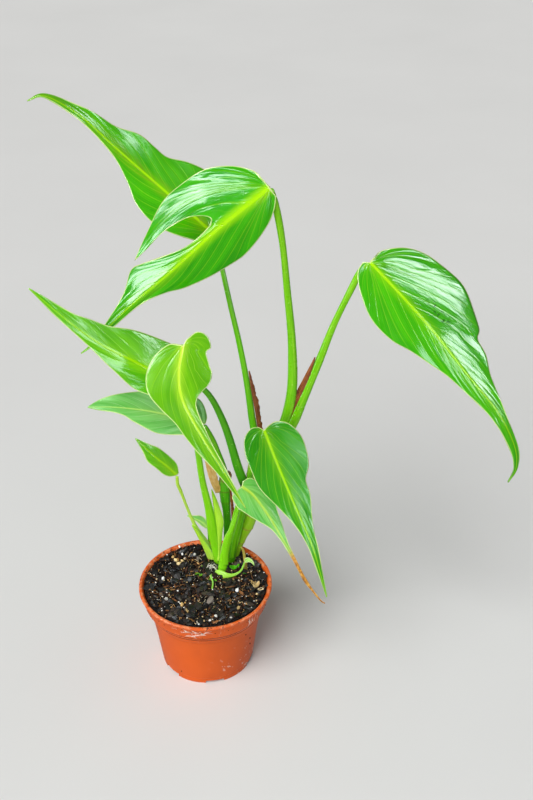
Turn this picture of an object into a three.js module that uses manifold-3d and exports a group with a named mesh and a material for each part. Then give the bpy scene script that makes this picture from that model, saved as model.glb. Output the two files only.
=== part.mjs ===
// A young potted monstera with long, narrow, lobed leaves, in a 12 cm nursery pot.
// Millimetres, +Z up. The origin is the middle of the pot's underside, on the surface it stands on.
// +X is to the right and +Y to the back of the plant.

import * as THREE from "three";
import { mergeGeometries, mergeVertices } from "three/addons/utils/BufferGeometryUtils.js";
import Module from "manifold-3d";

const wasm = await Module();
wasm.setup();

// Driving dimensions
const POT_HEIGHT = 84.2;
const POT_RIM_RADIUS = 60;
const POT_BAND_RADIUS = 55.9;
const POT_WALL_RADIUS = 50.1;
const POT_WALL_HEIGHT = 57.4;
const POT_FOOT_RADIUS = 42.1;
const POT_WALL = 1.6;
const POT_FLOOR = 5.2;
const POT_PAD_RADIUS = 15;
const POT_CHANNEL_HEIGHT = 2.8;
const DRAIN_HOLE_RADIUS = 4.5;
const DRAIN_HOLES = 8;
const FOOT_NOTCH_WIDTH = 15;
const FOOT_NOTCHES = 6;
const SOIL_LEVEL = 79.6;
const SOIL_RELIEF = 0.9;
const SOIL_LUMPS = 20;
const LUMP_TURN = 2.39996;
const LUMP_STRIDE = 12.9898;
const GAP = 0.3;
const BLADE_THICKNESS = 0.8;
const RIB_KEEL = 1.3;
const VEIN_SWEEP = 0.8;
const VEIN_CREEP = 0.4;
const TIP_HALF = 0.45;
const SEAM_SHARE = 0.12;

const POT_SEGMENTS = 44;
const SOIL_RINGS = 6;
const ROW_SPREAD = 1.45;
const LIMB_SIDES = 8;
const LIMB_STEP = 13;

const FINISH = {
  terracotta: { color: 0xd2602a, roughness: 0.45 },
  soil: { color: 0x2a1f18, roughness: 1.0 },
  stem: { color: 0x6f9a25, roughness: 0.5 },
  oldStem: { color: 0x3f7a22, roughness: 0.55 },
  petiole: { color: 0x63a81e, roughness: 0.4 },
  blade: { color: 0x3fa012, roughness: 0.3 },
  youngBlade: { color: 0x7cc41c, roughness: 0.35 },
  paleBlade: { color: 0x6aaf55, roughness: 0.45 },
  drySheath: { color: 0x7a3f1c, roughness: 0.8 },
  tanSheath: { color: 0xc09a60, roughness: 0.8 },
  shoot: { color: 0x8fbf3c, roughness: 0.45 },
  root: { color: 0xb7c489, roughness: 0.6 },
};

// Blades. The spine runs along the midrib from base to tip. Facing is where the upper side looks at
// the base, the middle and the tip, and fold how far the halves rise from the midrib there, in degrees.
// Curl is how their slope changes on the way out, in degrees a millimetre, and each margin is a list
// of (along, across) from base to tip.
const BLADES = {
  top_back: {
    finish: "blade",
    spine: [[13, 48, 404], [-21, 60, 431], [-61, 74, 463], [-89, 84, 486], [-115, 90, 499], [-130, 92, 495]],
    facing: [[0.2, -0.75, 0.6], [0.15, -0.8, 0.55], [0.1, -0.6, 0.9]],
    fold: [-10, -12, -4],
    curl: -0.25,
    right: [[-3, 9], [-1, 24], [10, 36], [26, 42], [39, 38], [53, 32], [66, 24], [79, 23], [94, 22], [111, 14],
      [128, 10], [144, 6], [160, 4]],
    left: [[-5, 4], [-2, 11], [7, 14], [18, 19], [29, 23], [44, 25], [61, 22], [74, 15], [93, 7], [112, 4],
      [144, 3]],
  },
  top_front: {
    finish: "blade",
    spine: [[57, -8, 464], [36, -12, 448], [16, -13, 431], [-16, -8, 398], [-45, 0, 369], [-68, 10, 342],
      [-85, 18, 320], [-95, 22, 310]],
    facing: [[0.1, -0.85, 0.45], [0.05, -0.9, 0.4], [0, -0.9, 0.3]],
    fold: [-16, -16, -8],
    curl: -0.3,
    right: [[48.7, 7.4], [54, 5.3], [64, 5.1], [73, 6], [82, 7.8], [101, 13.8], [119, 19.7], [130, 21],
      [146, 11], [178, 4], [200, 2]],
    left: [[0, 8], [8, 16], [19, 22], [42, 28], [62, 28], [100, 18], [117, 10], [137, 5], [175, 3]],
    lobe: {
      root: 43,
      outer: [[0, 2], [1, 10], [3, 19], [14, 32], [33, 43], [55, 46], [75, 45], [99, 37], [123, 25]],
      inner: [[48.7, 7.4], [48.6, 11.4], [55.6, 17.8], [69, 24], [90, 27], [109, 25.8], [123, 25]],
    },
  },
  mid_left: {
    finish: "blade",
    spine: [[-8, -4, 294], [-27, -8, 307], [-50, -12, 324], [-72, -14, 339], [-94, -14, 358], [-123, -10, 385]],
    facing: [[0.1, -0.7, 0.7], [0.1, -0.8, 0.55], [0.1, -0.8, 0.55]],
    fold: [-8, -10, -6],
    curl: -0.25,
    right: [[-4, 10], [-2, 22], [8, 29], [25, 28], [43, 26], [62, 22], [80, 16], [96, 12], [111, 7], [135, 3]],
    left: [[-4, 6], [1, 12], [13, 16], [25, 18], [41, 19], [63, 13], [79, 8], [97, 5], [122, 3]],
  },
  center: {
    finish: "youngBlade",
    spine: [[-7, -40, 353], [-10, -52, 337], [-7, -64, 320], [8, -74, 292], [24, -80, 264], [39, -84, 235]],
    facing: [[0, -0.8, 0.6], [0, -0.9, 0.45], [-0.1, -0.95, 0.3]],
    fold: [-6, -6, -6],
    curl: -0.25,
    right: [[0, 5], [1, 11], [10, 19], [19, 24], [25, 25], [32, 24], [42, 18], [54, 13], [69, 11], [94, 7],
      [120, 3]],
    left: [[-5, 2], [-12, 9], [-10, 17], [-2, 21], [2, 18], [10, 22], [21, 25], [35, 21], [44, 11], [52, 7],
      [70, 5], [95, 3]],
  },
  low_left: {
    finish: "paleBlade",
    spine: [[2, 18, 243], [-13, 16, 250], [-41, 14, 259], [-68, 14, 263], [-93, 16, 262]],
    facing: [[0.1, -0.55, 0.8], [0.1, -0.6, 0.75], [0.1, -0.6, 0.75]],
    fold: [-6, -6, -4],
    curl: -0.3,
    right: [[-2, 2], [-2, 10], [6, 22], [24, 25], [41, 21], [62, 16], [81, 10], [91, 6]],
    left: [[-1, 3], [8, 11], [18, 14], [38, 17], [58, 11], [69, 6], [87, 3]],
  },
  small_left: {
    finish: "blade",
    spine: [[-21, 2, 202], [-30, -3, 217], [-39, -6, 229], [-52, -8, 247]],
    facing: [[0.1, -0.75, 0.65], [0.1, -0.75, 0.65], [0.1, -0.75, 0.65]],
    fold: [-4, -6, -4],
    curl: -0.5,
    right: [[0, 3], [7, 7], [14, 8], [32, 8], [42, 5], [51, 2]],
    left: [[1, 1], [6, 5], [13, 7], [24, 7], [33, 7], [42, 4]],
  },
  right_big: {
    finish: "blade",
    spine: [[134, 14, 395], [157, 2, 374], [183, -10, 348], [211, -20, 315], [237, -26, 284], [253, -28, 254],
      [258, -26, 231], [254, -22, 213]],
    facing: [[0.15, -0.85, 0.5], [0.2, -0.85, 0.45], [0.3, -0.85, 0.4]],
    fold: [-14, -14, -8],
    curl: -0.25,
    right: [[-4, 4], [-1, 12], [11, 21], [32, 29], [55, 29], [73, 23], [90, 18], [112, 12], [145, 8], [172, 6],
      [199, 4]],
    left: [[0, 5], [0, 15], [10, 31], [26, 42], [46, 48], [64, 49], [82, 43], [98, 35], [103, 27], [118, 24],
      [134, 15], [155, 7], [179, 4], [205, 3]],
  },
  right_center: {
    finish: "blade",
    spine: [[53, -6, 254], [64, -22, 231], [78, -40, 203], [92, -54, 173], [99, -61, 150], [105, -66, 127]],
    facing: [[0.05, -0.88, 0.48], [0.1, -0.9, 0.4], [0.15, -0.95, 0.3]],
    fold: [-6, -8, -6],
    curl: -0.3,
    right: [[-4, 3], [-5, 10], [1, 18], [13, 22], [27, 22], [44, 21], [66, 12], [81, 7], [98, 4], [127, 2]],
    left: [[-2, 4], [-3, 12], [2, 21], [14, 27], [29, 27], [41, 24], [51, 17], [65, 15], [90, 7], [110, 4]],
  },
  behind_center: {
    finish: "paleBlade",
    spine: [[34, 0, 192], [44, -5, 186], [57, -14, 171], [67, -22, 156], [76, -26, 140], [88, -32, 116],
      [101, -34, 95], [106, -34, 90]],
    facing: [[0.1, -0.75, 0.65], [0.2, -0.75, 0.6], [0.2, -0.75, 0.6]],
    fold: [-6, -6, -4],
    curl: -0.3,
    right: [[-1, 4], [-1, 12], [9, 17], [23, 14], [35, 9], [46, 4], [59, 2], [74, 1.6], [100, 1.2]],
    left: [[-2, 4], [1, 10], [11, 12], [23, 13], [35, 9], [45, 7], [61, 3], [72, 1.8], [100, 1.2]],
  },
  seedling: {
    finish: "paleBlade",
    spine: [[1, 44, 111], [-6, 46, 117], [-18, 48, 122]],
    facing: [[0.1, -0.6, 0.8], [0.1, -0.6, 0.8], [0.1, -0.6, 0.8]],
    fold: [4, 2, 0],
    curl: -0.6,
    right: [[1, 3], [10, 5], [16, 3]],
    left: [[1, 2], [7, 3], [13, 2]],
  },
  shoot: {
    finish: "paleBlade",
    spine: [[35, 13.4, 96.8], [38, 12, 100], [41.5, 10, 100], [44, 8.5, 96.5]],
    facing: [[0, -0.7, 0.7], [0.3, -0.7, 0.6], [0.6, -0.6, 0.5]],
    fold: [10, 8, 4],
    curl: -0.6,
    right: [[0, 2], [5, 3.5], [10, 2]],
    left: [[0, 2], [5, 3], [10, 2]],
  },
};

// Stems, stalks, dry sheaths and the root: a path from the foot up, and half widths along and across
// the facing direction, spread evenly over the path.
const LIMBS = {
  stem_main: {
    finish: "stem",
    path: [[24, 38, 66], [26, 40, 84], [32, 38, 105], [40, 34, 130], [43, 31, 153], [43, 28, 180], [48, 26, 206],
      [56, 23, 226], [63, 21, 236]],
    half: [3.8, 4, 4.6, 5.8, 5.4, 6.2, 5.8, 6.4, 6.2, 4.5],
  },
  stem_second: {
    finish: "oldStem",
    path: [[16, 43, 66], [17, 44, 84], [19, 42, 105], [19, 39, 130], [18, 37, 152], [18, 36, 170], [21, 35, 182]],
    half: [3.4, 3.5, 3.4, 3.6, 3.5, 3.8, 4.8, 5.4, 4.4],
  },
  petiole_top_back: {
    finish: "petiole",
    path: [[50, 25, 208], [46, 26, 224], [43, 27, 242], [39, 30, 275], [33, 33, 312], [26, 37, 346], [20, 42, 375],
      [15, 46, 396], [13, 48.5, 403.5]],
    half: [3.2, 3.2, 2.9, 2.6, 2.4, 2.2, 2.1, 2, 2],
  },
  petiole_top_front: {
    finish: "petiole",
    path: [[60, 21, 220], [65, 20, 232], [72, 17, 254], [76, 14, 285], [75, 10, 329], [71, 5, 374], [67, 0, 416],
      [62, -4, 447], [57.5, -6.5, 463]],
    half: [4, 4.2, 4.2, 3.9, 3.3, 3, 2.7, 2.5, 2.7, 2.5],
  },
  petiole_right_big: {
    finish: "petiole",
    path: [[58, 23, 206], [66, 20, 222], [77, 18, 246], [85, 17, 270], [97, 16, 305], [108, 15, 340],
      [120, 14, 371], [127, 14.5, 387], [133.5, 15, 394]],
    half: [3.8, 4.6, 4.8, 4.3, 3.6, 3.2, 2.8, 2.5, 2.7, 2.5],
  },
  petiole_mid_left: {
    finish: "petiole",
    path: [[41, 29, 160], [36, 26, 174], [30, 21, 198], [24, 15, 230], [18, 10, 255], [11, 4, 277], [4, 0, 290],
      [-2, -1.5, 294], [-8, -3, 293.5]],
    half: [3.6, 4, 3.9, 3.6, 3.3, 3, 2.7, 2.4, 2.3],
  },
  petiole_low_left: {
    finish: "petiole",
    path: [[20, 35, 172], [17, 32, 190], [13, 28, 208], [10, 25, 221], [6, 21, 234], [2.5, 19, 242]],
    half: [2.8, 2.7, 2.5, 2.2, 2, 1.9],
  },
  petiole_center: {
    finish: "petiole",
    path: [[10, 34, 66], [10, 32, 84], [7, 27, 116], [4, 20, 153], [0, 12, 188], [-2, 3, 223], [-4, -7, 260],
      [-6, -22, 303], [-9, -34, 336], [-8.5, -39, 349], [-7, -38.5, 353]],
    half: [3.8, 4.2, 4.6, 3.6, 2.9, 2.7, 2.5, 2.3, 2.1, 2.2, 2.1],
    face: [0.1, -1, 0],
    flat: 0.8,
  },
  petiole_small_left: {
    finish: "shoot",
    path: [[4, 40, 66], [3, 37, 84], [-4, 31, 111], [-10, 25, 131], [-15, 19, 154], [-19, 11, 178], [-21, 6, 190],
      [-20.8, 2.5, 201.5]],
    half: [3.6, 3.9, 3.6, 2.1, 1.5, 1.3, 1.3, 1.5, 1.3],
    face: [0.1, -1, 0],
    flat: 0.8,
  },
  petiole_right_center: {
    finish: "petiole",
    path: [[22, 35, 66], [22.5, 34, 86], [28, 30, 114], [33, 26, 141], [38, 20, 173], [43, 12, 206], [48, 3, 235],
      [51, -4, 249], [53, -5.5, 253.5]],
    half: [3.6, 3.9, 3.7, 3.2, 2.7, 2.4, 2.2, 2, 2.1, 2],
  },
  petiole_behind_center: {
    finish: "petiole",
    path: [[13, 23, 66], [15, 22, 84], [18, 20, 107], [23, 17, 129], [28, 12, 155], [32, 6, 175], [33.5, 2, 187],
      [34.5, 1, 191.5]],
    half: [4, 4.3, 4.1, 3.3, 2.4, 1.9, 1.8, 1.7, 1.7],
  },
  petiole_seedling: {
    finish: "petiole",
    path: [[1, 48, 68], [1, 49, 82], [1, 49, 93], [1, 46.5, 105], [0.8, 44.5, 110.6]],
    half: [0.9, 0.9, 0.8, 0.8, 0.8],
    sides: 6,
  },
  ground_shoot: {
    finish: "shoot",
    path: [[8, 20, 73], [12, 14.5, 81.5], [20, 9, 83.5], [27, 9, 85], [32, 11.5, 88], [34.5, 13.5, 93.5], [35, 13.6, 96.2]],
    half: [2.6, 3.6, 3.4, 2.2, 1.3, 1, 0.9],
    face: [0.2, -0.6, 1],
    flat: 0.7,
    step: 6,
  },
  dry_strip: {
    finish: "tanSheath",
    path: [[36, 22, 77], [36, 19.5, 86], [35.4, 18.5, 94], [34.4, 20, 102], [32.2, 21.5, 107.5]],
    half: [1.3, 1.4, 1.2, 0.8],
    face: [0, -1, 0.3],
    flat: 0.45,
    sides: 6,
  },
  sheath_tall: {
    finish: "drySheath",
    path: [[73, 16, 240], [76, 15.4, 254], [81, 15, 271], [87, 14.5, 290], [94, 14, 311]],
    half: [2.2, 4.4, 4.6, 3, 0.9],
    face: [0, -1, 0.3],
    flat: 0.22,
  },
  sheath_back: {
    finish: "drySheath",
    path: [[52, 21.5, 228], [49.5, 23, 238], [47, 25, 255], [43.6, 27.4, 273], [40.6, 29.4, 289]],
    half: [1.8, 2.2, 2.1, 1.6, 0.7],
    face: [0.3, -1, 0.2],
    flat: 0.45,
    sides: 6,
  },
  sheath_low: {
    finish: "drySheath",
    path: [[23, 39, 84], [24.5, 37, 104], [24.5, 35, 128], [24, 34, 148], [22.6, 34, 167]],
    half: [1.6, 2.4, 2.6, 2, 0.9],
    face: [0.2, -1, 0],
    flat: 0.4,
    sides: 6,
  },
  cataphyll: {
    finish: "tanSheath",
    path: [[12.5, 33.5, 160], [9.5, 32, 172], [7, 31, 184], [4.5, 30, 197]],
    half: [3, 3.7, 3.8, 3.3],
    face: [-0.1, -1, 0.2],
    flat: 0.2,
  },
  pale_root: {
    finish: "root",
    path: [[4.4, 17, 78.5], [4.4, 10, 81], [6.4, 3, 80.6], [6.2, -4, 80.8], [5.6, -9, 79]],
    half: [1.2, 1.1, 0.9, 0.8, 0.7],
    sides: 6,
    step: 6,
  },
};

// What grows first keeps its shape, and what comes later in this list fits round it.
const GROWTH_ORDER = [
  "stem_main", "stem_second", "petiole_top_front", "petiole_right_big", "petiole_top_back", "petiole_mid_left",
  "petiole_low_left", "petiole_behind_center", "petiole_right_center", "petiole_center", "petiole_small_left",
  "petiole_seedling", "ground_shoot", "pale_root", "cataphyll", "sheath_tall", "sheath_back", "sheath_low", "dry_strip",
];

const vector = (p) => new THREE.Vector3(p[0], p[1], p[2]);
const flatPoint = (p) => new THREE.Vector2(p[0], p[1]);

// A three.js geometry with its shared corners merged, as a solid that can be joined and cut.
function solidOf(geometry) {
  const bare = geometry.clone();
  bare.deleteAttribute("normal");
  bare.deleteAttribute("uv");
  const merged = mergeVertices(bare, 1e-4);
  const mesh = new wasm.Mesh({
    numProp: 3,
    vertProperties: Float32Array.from(merged.attributes.position.array),
    triVerts: Uint32Array.from(merged.index.array),
  });
  return new wasm.Manifold(mesh);
}

function geometryOf(solid) {
  const mesh = solid.getMesh();
  const geometry = new THREE.BufferGeometry();
  geometry.setAttribute("position", new THREE.BufferAttribute(Float32Array.from(mesh.vertProperties), 3));
  geometry.setIndex(Array.from(mesh.triVerts));
  geometry.computeVertexNormals();
  return geometry;
}

// The largest of the bodies that a cut leaves, so that no crumb stays beside it.
function mainBody(solid) {
  const bodies = solid.decompose();
  return bodies.reduce((best, body) => (body.volume() > best.volume() ? body : best));
}

// Even noise from sines, between about -1 and 1, for the lie of the soil.
function ripple(x, y) {
  const coarse = Math.sin(x * 0.31 + 1.3) * Math.cos(y * 0.27 - 0.4);
  const fine = Math.sin(x * 0.83 - y * 0.55) * Math.cos(y * 0.71 + x * 0.42 + 2.1);
  return 0.55 * coarse + 0.45 * fine;
}

// The pot's inside from its floor to its band, or a line that keeps clear of it.
function innerWall(clear) {
  return [
    [POT_FOOT_RADIUS + 0.8 - POT_WALL - clear, POT_FLOOR + clear], [46.2 - POT_WALL - clear, 32],
    [POT_WALL_RADIUS - POT_WALL - clear, POT_WALL_HEIGHT], [POT_BAND_RADIUS - 0.1 - POT_WALL - clear, 69.6],
  ];
}

// The pot: lip, rim band, sloping step, tapered wall, base line and foot, turned in one profile.
function makePot() {
  const profile = [
    [0, 0], [POT_PAD_RADIUS, 0], [POT_PAD_RADIUS + 1.2, POT_CHANNEL_HEIGHT],
    [POT_FOOT_RADIUS - 4.6, POT_CHANNEL_HEIGHT], [POT_FOOT_RADIUS - 3.6, 0], [POT_FOOT_RADIUS, 0],
    [POT_FOOT_RADIUS + 0.2, 5.4], [POT_FOOT_RADIUS + 0.8, 6.2], [46.2, 32], [POT_WALL_RADIUS, POT_WALL_HEIGHT],
    [POT_WALL_RADIUS + 0.3, POT_WALL_HEIGHT + 1], [POT_WALL_RADIUS + 1.7, POT_WALL_HEIGHT + 1.8],
    [POT_WALL_RADIUS + 2.1, POT_WALL_HEIGHT + 2.9], [POT_BAND_RADIUS - 1.2, 67.3], [POT_BAND_RADIUS - 0.3, 68],
    [POT_BAND_RADIUS, 69], [57.2, 80.4], [59.6, 81.4], [POT_RIM_RADIUS, 82.6],
    [POT_RIM_RADIUS - 0.3, POT_HEIGHT - 0.3], [POT_RIM_RADIUS - 1, POT_HEIGHT], [57.6, POT_HEIGHT],
    [56.8, POT_HEIGHT - 0.8], [55.8, 82], ...innerWall(0).reverse(), [0, POT_FLOOR],
  ];
  let pot = solidOf(new THREE.LatheGeometry(profile.map(flatPoint), POT_SEGMENTS).rotateX(Math.PI / 2));
  const drainRing = (POT_PAD_RADIUS + POT_FOOT_RADIUS) / 2;
  for (let i = 0; i < DRAIN_HOLES; i += 1) {
    const turn = ((i + 0.5) / DRAIN_HOLES) * 2 * Math.PI;
    const hole = new THREE.CylinderGeometry(DRAIN_HOLE_RADIUS, DRAIN_HOLE_RADIUS, 4 * POT_FLOOR, 12);
    hole.rotateX(Math.PI / 2);
    hole.translate(drainRing * Math.cos(turn), drainRing * Math.sin(turn), POT_FLOOR);
    pot = pot.subtract(solidOf(hole));
  }
  for (let i = 0; i < FOOT_NOTCHES; i += 1) {
    const notch = new THREE.BoxGeometry(12, FOOT_NOTCH_WIDTH, 2 * POT_CHANNEL_HEIGHT);
    notch.translate(POT_FOOT_RADIUS, 0, 0);
    notch.rotateZ(((i + 0.25) / FOOT_NOTCHES) * 2 * Math.PI);
    pot = pot.subtract(solidOf(notch));
  }
  return pot;
}

// The soil fills the pot to a few millimetres below the lip, with an uneven, lumpy top.
function makeSoil(feet) {
  const top = POT_BAND_RADIUS + 0.8 - POT_WALL - GAP;
  const profile = [[0, POT_FLOOR + GAP], ...innerWall(GAP), [top - 0.4, 76]];
  for (let ring = SOIL_RINGS; ring >= 0; ring -= 1) {
    profile.push([(top * ring) / SOIL_RINGS, SOIL_LEVEL]);
  }
  const ground = new THREE.LatheGeometry(profile.map(flatPoint), POT_SEGMENTS);
  const position = ground.attributes.position;
  for (let i = 0; i < position.count; i += 1) {
    // The lathe turns about Y, so the profile's height is still in y here.
    const [x, height, z] = [position.getX(i), position.getY(i), position.getZ(i)];
    const rim = Math.hypot(x, z) > top - 1 ? 0 : 1;
    const lift = height > SOIL_LEVEL - 1 ? SOIL_RELIEF * ripple(x, -z) * rim : 0;
    position.setY(i, height + lift);
  }
  let soil = solidOf(ground.rotateX(Math.PI / 2));
  for (let i = 0; i < SOIL_LUMPS; i += 1) {
    const radius = (top - 6) * Math.sqrt((i + 0.5) / SOIL_LUMPS);
    const turn = i * LUMP_TURN;
    const size = 1.8 + 1.3 * Math.abs(Math.sin(i * LUMP_STRIDE));
    const lump = new THREE.IcosahedronGeometry(size, 0);
    lump.rotateX(i);
    lump.scale(1.3, 1, 0.75);
    lump.rotateZ(i * 1.7);
    const [x, y] = [radius * Math.cos(turn), radius * Math.sin(turn)];
    lump.translate(x, y, SOIL_LEVEL + SOIL_RELIEF * ripple(x, y));
    soil = soil.add(solidOf(lump));
  }
  for (const stalk of feet) {
    soil = soil.subtract(stalk);
  }
  return mainBody(soil);
}

// Where a blade's flat point (along, across) lies in space, lifted off the leaf's middle surface.
// The two halves rise from the midrib by the fold and then bend on towards the margin.
function bladeSurface(blade) {
  const spine = new THREE.CatmullRomCurve3(blade.spine.map(vector), false, "catmullrom", 0.5);
  const length = spine.getLength();
  const facing = blade.facing.map(vector);
  const droop = THREE.MathUtils.degToRad(blade.curl);
  const place = (along, across, lift) => {
    const share = THREE.MathUtils.clamp(along / length, 0, 1);
    const ahead = spine.getTangentAt(share);
    const centre = spine.getPointAt(share).addScaledVector(ahead, along - share * length);
    const spot = share * (facing.length - 1);
    const index = Math.min(Math.floor(spot), facing.length - 2);
    const up = facing[index].clone().lerp(facing[index + 1], spot - index);
    up.addScaledVector(ahead, -up.dot(ahead)).normalize();
    const right = ahead.clone().cross(up);
    const rise = THREE.MathUtils.degToRad(
      THREE.MathUtils.lerp(blade.fold[index], blade.fold[index + 1], spot - index),
    );
    const bend = rise + droop * Math.abs(across);
    const reach = (Math.sin(bend) - Math.sin(rise)) / droop;
    const height = (Math.cos(rise) - Math.cos(bend)) / droop;
    return centre.addScaledVector(right, Math.sign(across) * reach).addScaledVector(up, height + lift);
  };
  return { length, place };
}

// Spreads a margin over the midrib between two roots, so that each side vein sweeps forward from its root.
function marginByRoot(points, start, end) {
  const margin = new THREE.SplineCurve(points).getPoints(12 * points.length);
  const roots = [0];
  for (let i = 1; i < margin.length; i += 1) {
    const creep = VEIN_CREEP * margin[i].distanceTo(margin[i - 1]);
    const wanted = margin[i].x - start - VEIN_SWEEP * margin[i].y;
    roots.push(Math.max(roots[i - 1] + creep, wanted));
  }
  const scale = (end - start) / roots[roots.length - 1];
  return (root) => {
    const spot = (root - start) / scale;
    const i = Math.max(1, roots.findIndex((r) => r >= spot - 1e-6));
    const step = (spot - roots[i - 1]) / (roots[i] - roots[i - 1]);
    return margin[i - 1].clone().lerp(margin[i], THREE.MathUtils.clamp(step, 0, 1));
  };
}

// A grid stretched between four flat edges: the midrib, the margin, and the first and last veins.
function stretchedPatch(rib, margin, first, last, shares) {
  const rows = rib.length - 1;
  const columns = shares.length - 1;
  const patch = new THREE.PlaneGeometry(1, 1, columns, rows);
  const position = patch.attributes.position;
  for (let i = 0; i < position.count; i += 1) {
    const row = Math.floor(i / (columns + 1));
    const column = i % (columns + 1);
    const u = row / rows;
    const v = shares[column];
    const spot = rib[row].clone().multiplyScalar(1 - v).addScaledVector(margin[row], v);
    spot.addScaledVector(first[column], 1 - u).addScaledVector(last[column], u);
    spot.addScaledVector(rib[0], -(1 - u) * (1 - v)).addScaledVector(margin[0], -(1 - u) * v);
    spot.addScaledVector(rib[rows], -u * (1 - v)).addScaledVector(margin[rows], -u * v);
    position.setXYZ(i, spot.x, spot.y, 0);
  }
  patch.deleteAttribute("normal");
  patch.deleteAttribute("uv");
  return patch;
}

const straight = (from, to, shares) => shares.map((v) => from.clone().lerp(to, v));

// One half of a plain blade, along the midrib's points that are given.
function plainHalf(points, rib, shares) {
  const marginAt = marginByRoot(points, rib[0].x, rib[rib.length - 1].x);
  const margin = rib.map((p) => marginAt(p.x));
  const first = straight(rib[0], margin[0], shares);
  const last = straight(rib[rib.length - 1], margin[margin.length - 1], shares);
  return stretchedPatch(rib, margin, first, last, shares);
}

// The flat outline of a blade as patches that share their edges. Left is the side of negative across.
function flatPatches(blade, length, rows, shares) {
  const tip = new THREE.Vector2(length, TIP_HALF);
  const rib = [];
  for (let row = 0; row <= rows; row += 1) {
    rib.push(new THREE.Vector2(length * (row / rows) ** ROW_SPREAD, 0));
  }
  const leftPatch = plainHalf([...blade.left.map(flatPoint), tip], rib, shares);
  leftPatch.scale(1, -1, 1);
  const right = [...blade.right.map(flatPoint), tip];
  if (!blade.lobe) {
    return { right: [plainHalf(right, rib, shares)], left: [leftPatch] };
  }
  const fork = rib.findIndex((p) => p.x > blade.lobe.root - 5);
  rib[fork].x = blade.lobe.root;
  const notch = flatPoint(blade.lobe.inner[0]);
  const seam = straight(rib[fork], notch, shares);
  const inner = new THREE.SplineCurve(blade.lobe.inner.map(flatPoint)).getSpacedPoints(6).slice(1);
  const last = [...seam, ...inner];
  const outward = [0.25, 0.42, 0.6, 0.74, 0.87, 1];
  const lobeShares = [...shares.map((v) => SEAM_SHARE * v), ...outward];
  const lobeRib = rib.slice(0, fork + 1);
  const outer = blade.lobe.outer.map(flatPoint);
  const outerAt = marginByRoot(outer, 0, rib[fork].x);
  const lobeMargin = lobeRib.map((p) => outerAt(p.x));
  const first = straight(lobeRib[0], lobeMargin[0], lobeShares);
  const lobePatch = stretchedPatch(lobeRib, lobeMargin, first, last, lobeShares);
  const bodyRib = rib.slice(fork);
  const bodyPatch = plainHalf(right, bodyRib, shares);
  return { right: [lobePatch, bodyPatch], left: [leftPatch] };
}

// A closed slab from flat patches: upper and lower faces split alike, and a wall round the edge.
function bladeSolid(blade, grow) {
  const surface = bladeSurface(blade);
  const long = surface.length > 60;
  const shares = long ? [0, 0.14, 0.55, 1] : [0, 0.5, 1];
  const rows = long ? Math.round(surface.length / 12) + 3 : 7;
  const patches = flatPatches(blade, surface.length, rows, shares);
  for (const patch of patches.left) {
    patch.setIndex(Array.from(patch.index.array).reverse());
  }
  const lid = mergeVertices(mergeGeometries([...patches.right, ...patches.left]), 1e-3);
  const flat = lid.attributes.position;
  const index = Array.from(lid.index.array);
  const count = flat.count;
  const half = BLADE_THICKNESS / 2 + grow;
  const corners = [];
  for (const side of [1, -1]) {
    for (let i = 0; i < count; i += 1) {
      const [along, across] = [flat.getX(i), flat.getY(i)];
      const onRib = Math.abs(across) < 1e-4 ? 1 : 0;
      const taper = long ? 1 - Math.min(1, along / surface.length) : 0;
      const keel = side < 0 ? RIB_KEEL * taper * onRib : 0;
      const spot = surface.place(along, across, side * half - keel);
      corners.push(spot.x, spot.y, spot.z);
    }
  }
  const edges = new Map();
  for (let i = 0; i < index.length; i += 3) {
    for (let k = 0; k < 3; k += 1) {
      const [from, to] = [index[i + k], index[i + ((k + 1) % 3)]];
      edges.set(`${from} ${to}`, [from, to]);
    }
  }
  const faces = [...index];
  for (let i = 0; i < index.length; i += 3) {
    faces.push(index[i] + count, index[i + 2] + count, index[i + 1] + count);
  }
  for (const [from, to] of edges.values()) {
    if (!edges.has(`${to} ${from}`)) {
      faces.push(from, from + count, to);
      faces.push(to, from + count, to + count);
    }
  }
  const geometry = new THREE.BufferGeometry();
  geometry.setAttribute("position", new THREE.Float32BufferAttribute(corners, 3));
  geometry.setIndex(faces);
  const solid = solidOf(geometry);
  if (solid.volume() > 0) {
    return solid;
  }
  geometry.setIndex(faces.reverse());
  return solidOf(geometry);
}

// A tapered stalk, sheath or root: a capped cylinder drawn out along a smooth path.
function limbSolid(limb, grow) {
  const path = new THREE.CatmullRomCurve3(limb.path.map(vector), false, "catmullrom", 0.5);
  const length = path.getLength();
  const steps = Math.max(3, Math.round(length / (limb.step ?? LIMB_STEP)));
  const face = vector(limb.face ?? [0, -1, 0.01]);
  const flat = limb.flat ?? 1;
  const tube = new THREE.CylinderGeometry(1, 1, 1, limb.sides ?? LIMB_SIDES, steps);
  const position = tube.attributes.position;
  for (let i = 0; i < position.count; i += 1) {
    const share = position.getY(i) + 0.5;
    const ahead = path.getTangentAt(share);
    const centre = path.getPointAt(share).addScaledVector(ahead, 2 * grow * (share - 0.5));
    const up = face.clone().addScaledVector(ahead, -face.dot(ahead)).normalize();
    const side = ahead.clone().cross(up);
    const spot = share * (limb.half.length - 1);
    const at = Math.min(Math.floor(spot), limb.half.length - 2);
    const half = THREE.MathUtils.lerp(limb.half[at], limb.half[at + 1], spot - at);
    centre.addScaledVector(side, position.getX(i) * (half + grow));
    centre.addScaledVector(up, position.getZ(i) * (half * flat + grow));
    position.setXYZ(i, centre.x, centre.y, centre.z);
  }
  const solid = solidOf(tube);
  if (solid.volume() > 0) {
    return solid;
  }
  tube.setIndex(Array.from(tube.index.array).reverse());
  return solidOf(tube);
}

function addPiece(group, name, solid, finish) {
  const { color, roughness } = FINISH[finish];
  const material = new THREE.MeshStandardMaterial({ color, roughness, metalness: 0 });
  const mesh = new THREE.Mesh(geometryOf(solid), material);
  mesh.name = name;
  group.add(mesh);
}

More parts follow.
